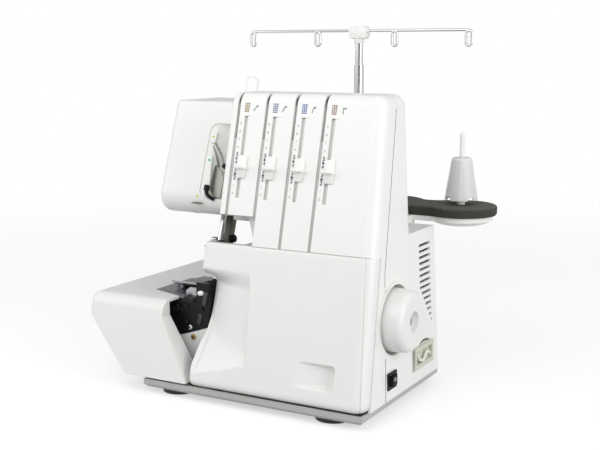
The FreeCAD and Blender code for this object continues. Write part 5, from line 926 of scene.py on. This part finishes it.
for name, start, axis, radius, height in needle_screws:
    head, slot = screw(start, axis, radius, height)
    piece(name, head, "needle_carrier", bright_plate, "bright_plate")
    # The dark bar across the screw's crown: painted shade in its slot.
    piece(name + "_slot", slot, "needle_carrier", black_oxide, "black_steel")
WEB_STEPS, WEB_TOP, WEB_FOOT, WEB_RIGHT, WEB_Y = 8, 175.9, 150.0, 5.3, -79.0
web_side = [Vector((WEB_RIGHT, WEB_FOOT)), Vector((WEB_RIGHT, WEB_TOP))]
for k in range(WEB_STEPS + 1):
    share = k / WEB_STEPS
    web_side.append(Vector((-9.0 + 8.0 * share ** 0.6, WEB_TOP - (WEB_TOP - WEB_FOOT) * share)))
web = plate(web_side, -2.2, 2.2, 0.15, lambda u, v, out: Vector((u, WEB_Y + out, v)))
rib_side = rounded([(-36.0, 166.4), (4.6, 166.4), (4.6, 176.0), (-36.0, 176.0)], 1.2)
rib = plate(rib_side, -61.5, -58.5, 0.8, lambda u, v, out: Vector((u, out, v)))
# The web and rib are white mouldings; their pale grey is painted shade under the arm.
piece("arm_web_painted_shade", joined([web, rib]), "machine", painted_shade_grey_abs, "grey_abs")
print("needle and presser fittings ready")

# %% [markdown]
# ## Knives, guard and bed details
# Cloth is trimmed between a fixed lower knife and an upper knife on a black arm. The black guard in front
# has a folded flange, pressed rings, two clamp bars and two screws. Flat sheet parts are plates, the flange
# is a plate in the other plane, and each screw is a lathe.

# %% Knives and guard
KNIFE_X, GUARD_Y, GUARD_SKIN = -68.0, -88.0, -87.9


def on_guard(x, z):
    return lambda u, v, out: Vector((x + u, GUARD_Y - out, z + v))


def on_knife(y, z):
    return lambda u, v, out: Vector((KNIFE_X + u, y + out, z + v))


arm_side = [(-2.6, -28), (2.8, -28), (3.4, -12), (3.4, 0), (1.0, 5), (-2.6, 5)]
knife_arm = plate(rounded(arm_side, 1.2), -3.3, 3.3, 0.7, on_knife(-81.0, 84.0))
knife = piece("knife_arm", knife_arm, "knife", black_oxide, "black_steel")
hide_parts("upper_knife")
blade_side = [(-12.4, -2.5), (2.6, -2.5), (2.6, 5.5), (-7.5, 5.5), (-12.4, 2.2)]
blade = plate(rounded(blade_side, 0.4), -0.9, 0.9, 0.2, on_knife(-79.5, 93.0))
piece("knife_blade", blade, "knife", ground_steel, "ground_steel")
head, slot = screw((-67.6, -84.2, 82.6), (0, -1, 0), 2.2, 1.8)
piece("knife_screw", joined([head, slot]), "knife", black_oxide, "black_steel")

flange_side = [(-88, 62), (-72, 66), (-70, 84), (-70, 104), (-76, 110), (-88, 106)]
flange = plate(rounded(flange_side, 3.0), -0.8, 0.8, 0.2, lambda u, v, out: Vector((-48.9 + out, u, v)))
RING = [(0, 3.9), (0.5, 3.8), (0.9, 3.3), (0.9, 2.6), (0.3, 2.2), (0.3, 0.1)]
BOSS = [(0, 2.2), (1.6, 2.2), (2.0, 1.7), (2.0, 0.1)]
rings = [lathe((x, GUARD_SKIN, z), (0, -1, 0), RING, 28)
         for x, z in ((-87.6, 78.5), (-78.4, 79.0), (-68.3, 81.0))]
bosses = [lathe((x, GUARD_SKIN, z), (0, -1, 0), BOSS, 20) for x, z in ((-56.6, 80.0), (-74.5, 66.0))]
piece("guard_pressings", joined([flange] + rings + bosses), "machine", black_oxide, "black_steel")
clamps = [plate(rotated(bar(4.2, 14.0, 0.8), -14), 0.0, 1.1, 0.3, on_guard(-52.6, 91.0)),
          plate(rotated(bar(4.2, 11.0, 0.8), -14), 0.0, 1.1, 0.3, on_guard(-59.2, 70.0))]
piece("guard_clamp_bars", joined(clamps), "machine", worn_oxide, "black_steel")
FINGER = [(0, 0.4), (0.5, 1.8), (2.0, 2.5), (4.5, 2.5), (6.0, 1.8), (6.6, 0.4)]
finger = lathe((-60.5, -88.6, 95.6), (1, 0, 0.15), FINGER, 20)
piece("guard_white_finger", finger, "machine", white_abs, "white_abs")
for name, x, z, finish, slot_name in (("guard_screw", -70.5, 60.4, bright_plate, "bright_plate"),
                                      ("inner_cover_screw", -66.9, 51.0, brass, "bronze")):
    head, slot = screw((x, GUARD_SKIN, z), (0, -1, 0), 2.7, 1.8)
    piece(name, head, "machine", finish, slot_name)
    # The dark bar across the screw's crown: painted shade in its slot.
    piece(name + "_slot", slot, "machine", black_oxide, "black_steel")
marks = [plate(bar(0.6, 5.0, 0.2), 89.0, 89.05, 0.01, lambda u, v, out, x=x: Vector((x + u, -70.5 + v, out)))
         for x in (-112.0, -108.5, -105.0, -101.5)]
piece("needle_plate_marks", joined(marks), "machine", dark_ink, "ground_steel")
print("knives and guard ready")

# %% [markdown]
# ## Thread stand: holder, cones and dish
# The holder at the top of the mast is a rounded block that the guide wire passes through. Each reel sits on
# a natural polypropylene cone with ribs, a soft rim and a notched skirt, and under the foam the tray swells
# into a shallow dish. The holder is a plate along the depth, a cone is a grid of rings whose foot is notched
# by angle, and the dish is a lathe.

# %% Thread stand
block = plate(rounded([(-10, 341.6), (10, 341.6), (10, 355), (-10, 355)], 4.2), -6.2, 6.2, 1.6,
              lambda u, v, out: Vector((MAST_X + u, MAST_Y + out, v)))
neck = lathe((MAST_X, MAST_Y, 337), (0, 0, 1), [(0, 4.9), (0.6, 5.4), (4.8, 5.4), (5.4, 6.2)], 32)
NIPPLE = [(0, 3.0), (1.6, 2.9), (2.2, 2.3), (2.2, 1.5)]
nipples = [lathe((MAST_X + side * 9.6, MAST_Y, 350), (side, 0, 0), NIPPLE, 24) for side in (-1, 1)]
holder = piece("wire_holder", joined([block, neck] + nipples), "guide_head", white_abs, "white_abs")
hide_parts("bar_holder")

CONE_LOW, CONE_TOP, CONE_FOOT, CONE_CROWN, CONE_WALL = 180.0, 223.0, 16.5, 9.5, 1.3
CONE_TURN = math.radians(-77)


def reel_cone(x):
    """A ribbed cone: an outer skin, an inner skin, a soft crown, and a skirt with four notches."""
    steps = 96

    def ring(share, thinner):
        points = []
        for k in range(steps):
            turn = 2 * math.pi * k / steps
            quarter = (turn - CONE_TURN) % (math.pi / 2)
            rib = 0.55 * math.exp(-(min(quarter, math.pi / 2 - quarter) / 0.075) ** 2)
            notch = 3.6 * (abs(quarter - math.pi / 4) < 0.19)
            z = CONE_LOW + (CONE_TOP - CONE_LOW) * share + notch * (1 - share) ** 8
            radius = CONE_FOOT + (CONE_CROWN - CONE_FOOT) * share - thinner + (rib if thinner < 1 else 0)
            points.append(Vector((x + radius * math.cos(turn), PAD_Y + radius * math.sin(turn), z)))
        return points

    outer = [ring(k / 14, 0.0) for k in range(14)]
    crown = [ring(0.965, 0.0), ring(0.985, 0.5), ring(0.997, 1.3), ring(1.0, 2.6), ring(1.0, 5.4)]
    inner = [ring(0.97, 5.4), ring(0.965, 2.6)] + [ring(k / 8, CONE_WALL) for k in range(7, -1, -1)]
    return grid(outer + crown + inner + [outer[0]], loop=True)


cones = piece("reel_cones", joined([reel_cone(x) for x in LOBES]), "machine", cone_plastic, "cone_plastic",
              sharp=50)
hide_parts("spool_cones")
DISH = [(0, 31.2), (-3.0, 30.6), (-5.6, 27.5), (-7.4, 22.0), (-8.2, 14.0), (-8.4, 0.2)]
DISH_TOP = 163.0
dishes = [lathe((x, PAD_Y, DISH_TOP), (0, 0, 1), DISH, 56) for x in LOBES]
piece("tray_dishes", joined(dishes), "machine", white_abs, "white_abs")
print("thread stand ready")

# %% [markdown]
# ## Switch and mains inlet
# The rocker carries the usual I and O. The inlet is a keyed socket: an insulator folded round its pins
# inside a stone-coloured frame, set in a shallow pocket of the housing with a finger arch above. The marks
# are a thin bar and a ring that a ray drops on the rocker's slope. The insulator is a swept band whose paler
# cream tint is a painted highlight on its rim; the shaded strip of the pocket's floor and the dark crescent
# of the arch are thin plates of painted shade; and along the seam of the two housings a dark strip, painted
# shade in the gap, stops at the handwheel.

# %% Switch and inlet
def on_side(y, z, out=0.0):
    return Vector((side_at(z) + out, y, z))


def on_rocker(y, z):
    """A place function for marks dropped on the rocker's sloping face, found with a ray from the right."""
    key = nodes["power_rocker"]
    inward = key.matrix_world.inverted()
    start, aim = inward @ (Vector((200, y, z)) * MM), inward.to_3x3() @ Vector((-1, 0, 0))
    spot, normal = key.ray_cast(start, aim)[1:3]
    spot, normal = key.matrix_world @ spot / MM, (key.matrix_world.to_3x3() @ normal).normalized()
    up = Vector((0, 0, 1))
    side = up.cross(normal)
    return lambda u, v, out: spot + side * u + up * v + normal * out


RING_STEPS, RING_IN, RING_OUT, MARK_LOW, MARK_HIGH = 24, 1.1, 1.7, -0.05, 0.06
ring_turns = [2 * math.pi * k / RING_STEPS for k in range(RING_STEPS)]
off_place = on_rocker(-63.2, 32.0)
ring_section = ((RING_IN, MARK_LOW), (RING_IN, MARK_HIGH), (RING_OUT, MARK_HIGH), (RING_OUT, MARK_LOW),
                (RING_IN, MARK_LOW))
off_rings = [[off_place(radius * math.cos(turn), radius * math.sin(turn), out) for turn in ring_turns]
             for radius, out in ring_section]
on_mark = plate(bar(0.7, 3.4, 0.2), MARK_LOW, MARK_HIGH, 0.02, on_rocker(-69.2, 32.0))
piece("switch_marks", joined([on_mark, grid(off_rings, loop=True)]), "rocker", white_abs, "white_abs")

SEAM_LOW, SEAM_KNEE, SEAM_TOP = (-80.0, 14.0), (-73.0, 131.0), (-36.6, 277.0)
SEAM_HALF, SEAM_DEEP, SEAM_PROUD, SEAM_STEPS = 0.4, -0.3, 0.06, 40
WHEEL_Y, WHEEL_Z, WHEEL_CLEAR = -55, 86, 36
seam_points = []
for (y0, z0), (y1, z1) in ((SEAM_LOW, SEAM_KNEE), (SEAM_KNEE, SEAM_TOP)):
    seam_points += [(y0 + (y1 - y0) * k / SEAM_STEPS, z0 + (z1 - z0) * k / SEAM_STEPS)
                    for k in range(SEAM_STEPS + 1)]
seam_points = [p for p in seam_points if math.hypot(p[0] - WHEEL_Y, p[1] - WHEEL_Z) > WHEEL_CLEAR]
seam_runs = [[p for p in seam_points if p[1] < WHEEL_Z], [p for p in seam_points if p[1] > WHEEL_Z]]
# A dark strip along the seam of the two housings: painted shade in the gap.
seam_shade_strips = []
for run in seam_runs:
    section = ((-SEAM_HALF, SEAM_DEEP), (-SEAM_HALF, SEAM_PROUD), (SEAM_HALF, SEAM_PROUD),
               (SEAM_HALF, SEAM_DEEP))
    seam_shade_strips.append(loft([[on_side(y + across, z, out) for across, out in section] for y, z in run]))
piece("housing_seam_painted_shade", joined(seam_shade_strips), "machine", black_polyamide, "black_moulding")

# A raised insulator band; its paler tint is a painted highlight on its rim.
insulator_path = [(-6.5, 42.6), (-4.9, 38.5), (-1.0, 34.4), (4.0, 32.6), (8.4, 31.6), (11.6, 33.2),
                  (13.7, 36.0), (16.4, 38.6), (20.0, 38.2), (24.5, 35.0)]
insulator = sweep([(136.6, y, z) for y, z in insulator_path], 1.7, 12)
floor_plate = plate(rounded([(-11, 28.6), (29, 28.6), (29, 45.4), (-11, 45.4)], 3.0), 132.8, 134.4, 0.4,
                    lambda u, v, out: Vector((out, u, v)))
piece("inlet_insulator_painted_highlight", insulator, "machine", highlight_polycarbonate, "inlet_plastic")
piece("inlet_floor", floor_plate, "machine", inlet_polycarbonate, "inlet_plastic")
# A grey strip beside the inlet: painted shade on the pocket's deep floor.
pocket_side = rounded([(-18.0, 25.6), (-14.4, 25.2), (-14.2, 46.6), (-17.6, 47.2)], 1.2)
pocket_shade = plate(pocket_side, -0.5, 0.12, 0.1, on_side)
piece("inlet_pocket_painted_shade", pocket_shade, "machine", grey_abs, "grey_abs")
# A dark crescent at the top of the finger arch: painted shade in the recess.
arch_line = [(-0.4, 48.4), (4.0, 50.6), (9.0, 51.9), (15.0, 51.9), (21.0, 50.8), (26.5, 48.6)]
arch_low = [(24.0, 48.3), (18.0, 49.2), (12.0, 49.6), (6.0, 49.2)]
arch_shade = plate([Vector(p) for p in arch_line + arch_low], -0.4, 0.1, 0.05, on_side)
piece("inlet_arch_painted_shade", arch_shade, "machine", phosphate_steel, "grey_abs")
print("switch and inlet ready")

# %% [markdown]
# ## Stage, light and camera
# The machine stands on a white sweep. Three weak softboxes light it from the front, the left and the right;
# the rest is even light from a white room, a little weaker overhead. What shines sees that room darker where
# the camera stands and behind the sweep, so that chrome shows a dark line down its middle and at its sides.
# Near the machine the floor is paper that keeps its soft shadow and adds a little white of its own; further
# out it fades to plain white, as a sweep does. The camera is a long lens a metre away, turned 29 degrees to
# the machine's right and tipped down 9 degrees.

# %% Stage
FLOOR_SPAN = 12.0
FLOOR_GLOW = 0.56
FADE_START, FADE_END = 0.45, 1.5


def seen_directly(tree):
    """1 for rays from the camera, or by way of gloss or glass; 0 for light on its way to other things."""
    path = add(tree, "LightPath", {})
    seen = add(tree, "Math", {0: path.outputs["Is Camera Ray"], 1: path.outputs["Is Glossy Ray"]},
               operation="MAXIMUM")
    return add(tree, "Math", {0: seen.outputs[0], 1: path.outputs["Is Transmission Ray"]},
               operation="MAXIMUM")


def make_floor():
    mesh = bpy.data.meshes.new("floor")
    half = FLOOR_SPAN / 2
    corners = [(-half, -half, 0), (half, -half, 0), (half, half, 0), (-half, half, 0)]
    mesh.from_pydata(corners, [], [(0, 1, 2, 3)])
    floor = bpy.data.objects.new("floor", mesh)
    bpy.context.scene.collection.objects.link(floor)
    material, tree, where = blank("white_paper_sweep")
    fibre = add(tree, "TexNoise", {"Vector": where, "Scale": per_mm(40), "Detail": 3.0})
    colour = add(tree, "Mix", {0: fibre.outputs["Fac"], 6: linear("#C0C0C0"), 7: linear("#BDBDBD")},
                 data_type="RGBA")
    paper = add(tree, "BsdfDiffuse", {"Color": colour.outputs[2]})
    glow = add(tree, "Emission", {"Color": linear("#FFFFFF"), "Strength": FLOOR_GLOW})
    lit = add(tree, "AddShader", {0: paper.outputs[0], 1: glow.outputs[0]})
    away = add(tree, "VectorMath", {0: where}, operation="LENGTH")
    fade = add(tree, "MapRange", {"Value": away.outputs["Value"], "From Min": FADE_START,
                                  "From Max": FADE_END}, interpolation_type="SMOOTHSTEP")
    white = add(tree, "Emission", {"Color": linear("#FFFFFF"), "Strength": 1.0})
    swept = add(tree, "MixShader", {0: fade.outputs["Result"], 1: lit.outputs[0], 2: white.outputs[0]})
    show(tree, add(tree, "MixShader", {0: seen_directly(tree).outputs[0], 1: paper.outputs[0],
                                       2: swept.outputs[0]}))
    mesh.materials.append(material)


DARK_END = (0.486, -0.874, 0.0)


def make_world(ambient):
    world = bpy.data.worlds.new("white_studio")
    bpy.context.scene.world = world
    world.use_nodes = True
    tree = world.node_tree
    tree.nodes.clear()
    where = add(tree, "TexCoord", {}).outputs["Generated"]
    facing = add(tree, "VectorMath", {0: where, 1: DARK_END}, operation="DOT_PRODUCT")
    front = add(tree, "MapRange", {"Value": facing.outputs["Value"], "From Min": 0.9, "From Max": 0.96,
                                   "To Min": 1.0, "To Max": 0.06})
    rear = add(tree, "MapRange", {"Value": facing.outputs["Value"], "From Min": -0.85, "From Max": -0.4,
                                  "To Min": 0.35, "To Max": 1.0})
    dark = add(tree, "Math", {0: front.outputs["Result"], 1: rear.outputs["Result"]}, operation="MULTIPLY")
    height = add(tree, "SeparateXYZ", {0: where})
    even = add(tree, "MapRange", {"Value": height.outputs["Z"], "From Min": 0.2, "From Max": 1.0,
                                  "To Min": ambient, "To Max": 0.45 * ambient})
    path = add(tree, "LightPath", {})
    lit = add(tree, "Mix", {0: path.outputs["Is Glossy Ray"], 2: even.outputs["Result"], 3: dark.outputs[0]})
    seen = add(tree, "Math", {0: path.outputs["Is Camera Ray"], 1: path.outputs["Is Transmission Ray"]},
               operation="MAXIMUM")
    strength = add(tree, "Mix", {0: seen.outputs[0], 2: lit.outputs[0], 3: 1.0})
    sky = add(tree, "Background", {"Color": linear("#FFFFFF"), "Strength": strength.outputs[0]})
    add(tree, "OutputWorld", {"Surface": sky.outputs[0]})


def softbox(name, at, aim, width, height, power):
    lamp = bpy.data.lights.new(name, "AREA")
    lamp.shape = "RECTANGLE"
    lamp.size = width
    lamp.size_y = height
    lamp.energy = power
    box = bpy.data.objects.new(name, lamp)
    box.location = at
    box.rotation_euler = (Vector(aim) - Vector(at)).to_track_quat("-Z", "Y").to_euler()
    bpy.context.scene.collection.objects.link(box)


bpy.context.scene.view_settings.view_transform = "Standard"
make_floor()
make_world(ambient=0.90)
softbox("front_softbox", (-0.05, -0.52, 0.62), (0, 0, 0.2), 0.5, 0.5, 1.2)
softbox("left_softbox", (-1.0, -0.7, 0.7), (0, 0, 0.25), 0.8, 0.8, 2.9)
softbox("right_softbox", (1.3, -0.35, 0.6), (0, 0, 0.2), 0.8, 0.8, 7.2)

CAMERA_AT = (522.2, -932.4, 330.0)
CAMERA_AZIMUTH = 29.06
CAMERA_PITCH = 9.28
CAMERA_LENS = 64.26


def make_camera():
    turn, tip = math.radians(CAMERA_AZIMUTH), math.radians(CAMERA_PITCH)
    ahead = Vector((-math.sin(turn) * math.cos(tip), math.cos(turn) * math.cos(tip), -math.sin(tip)))
    camera = bpy.data.objects.new("photo_camera", bpy.data.cameras.new("photo_camera"))
    camera.location = Vector(CAMERA_AT) * MM
    camera.rotation_euler = ahead.to_track_quat("-Z", "Y").to_euler()
    camera.data.lens = CAMERA_LENS
    camera.data.sensor_width = 36.0
    camera.data.clip_start = 0.01
    bpy.context.scene.collection.objects.link(camera)
    bpy.context.scene.camera = camera


make_camera()
print("stage, light and camera ready")
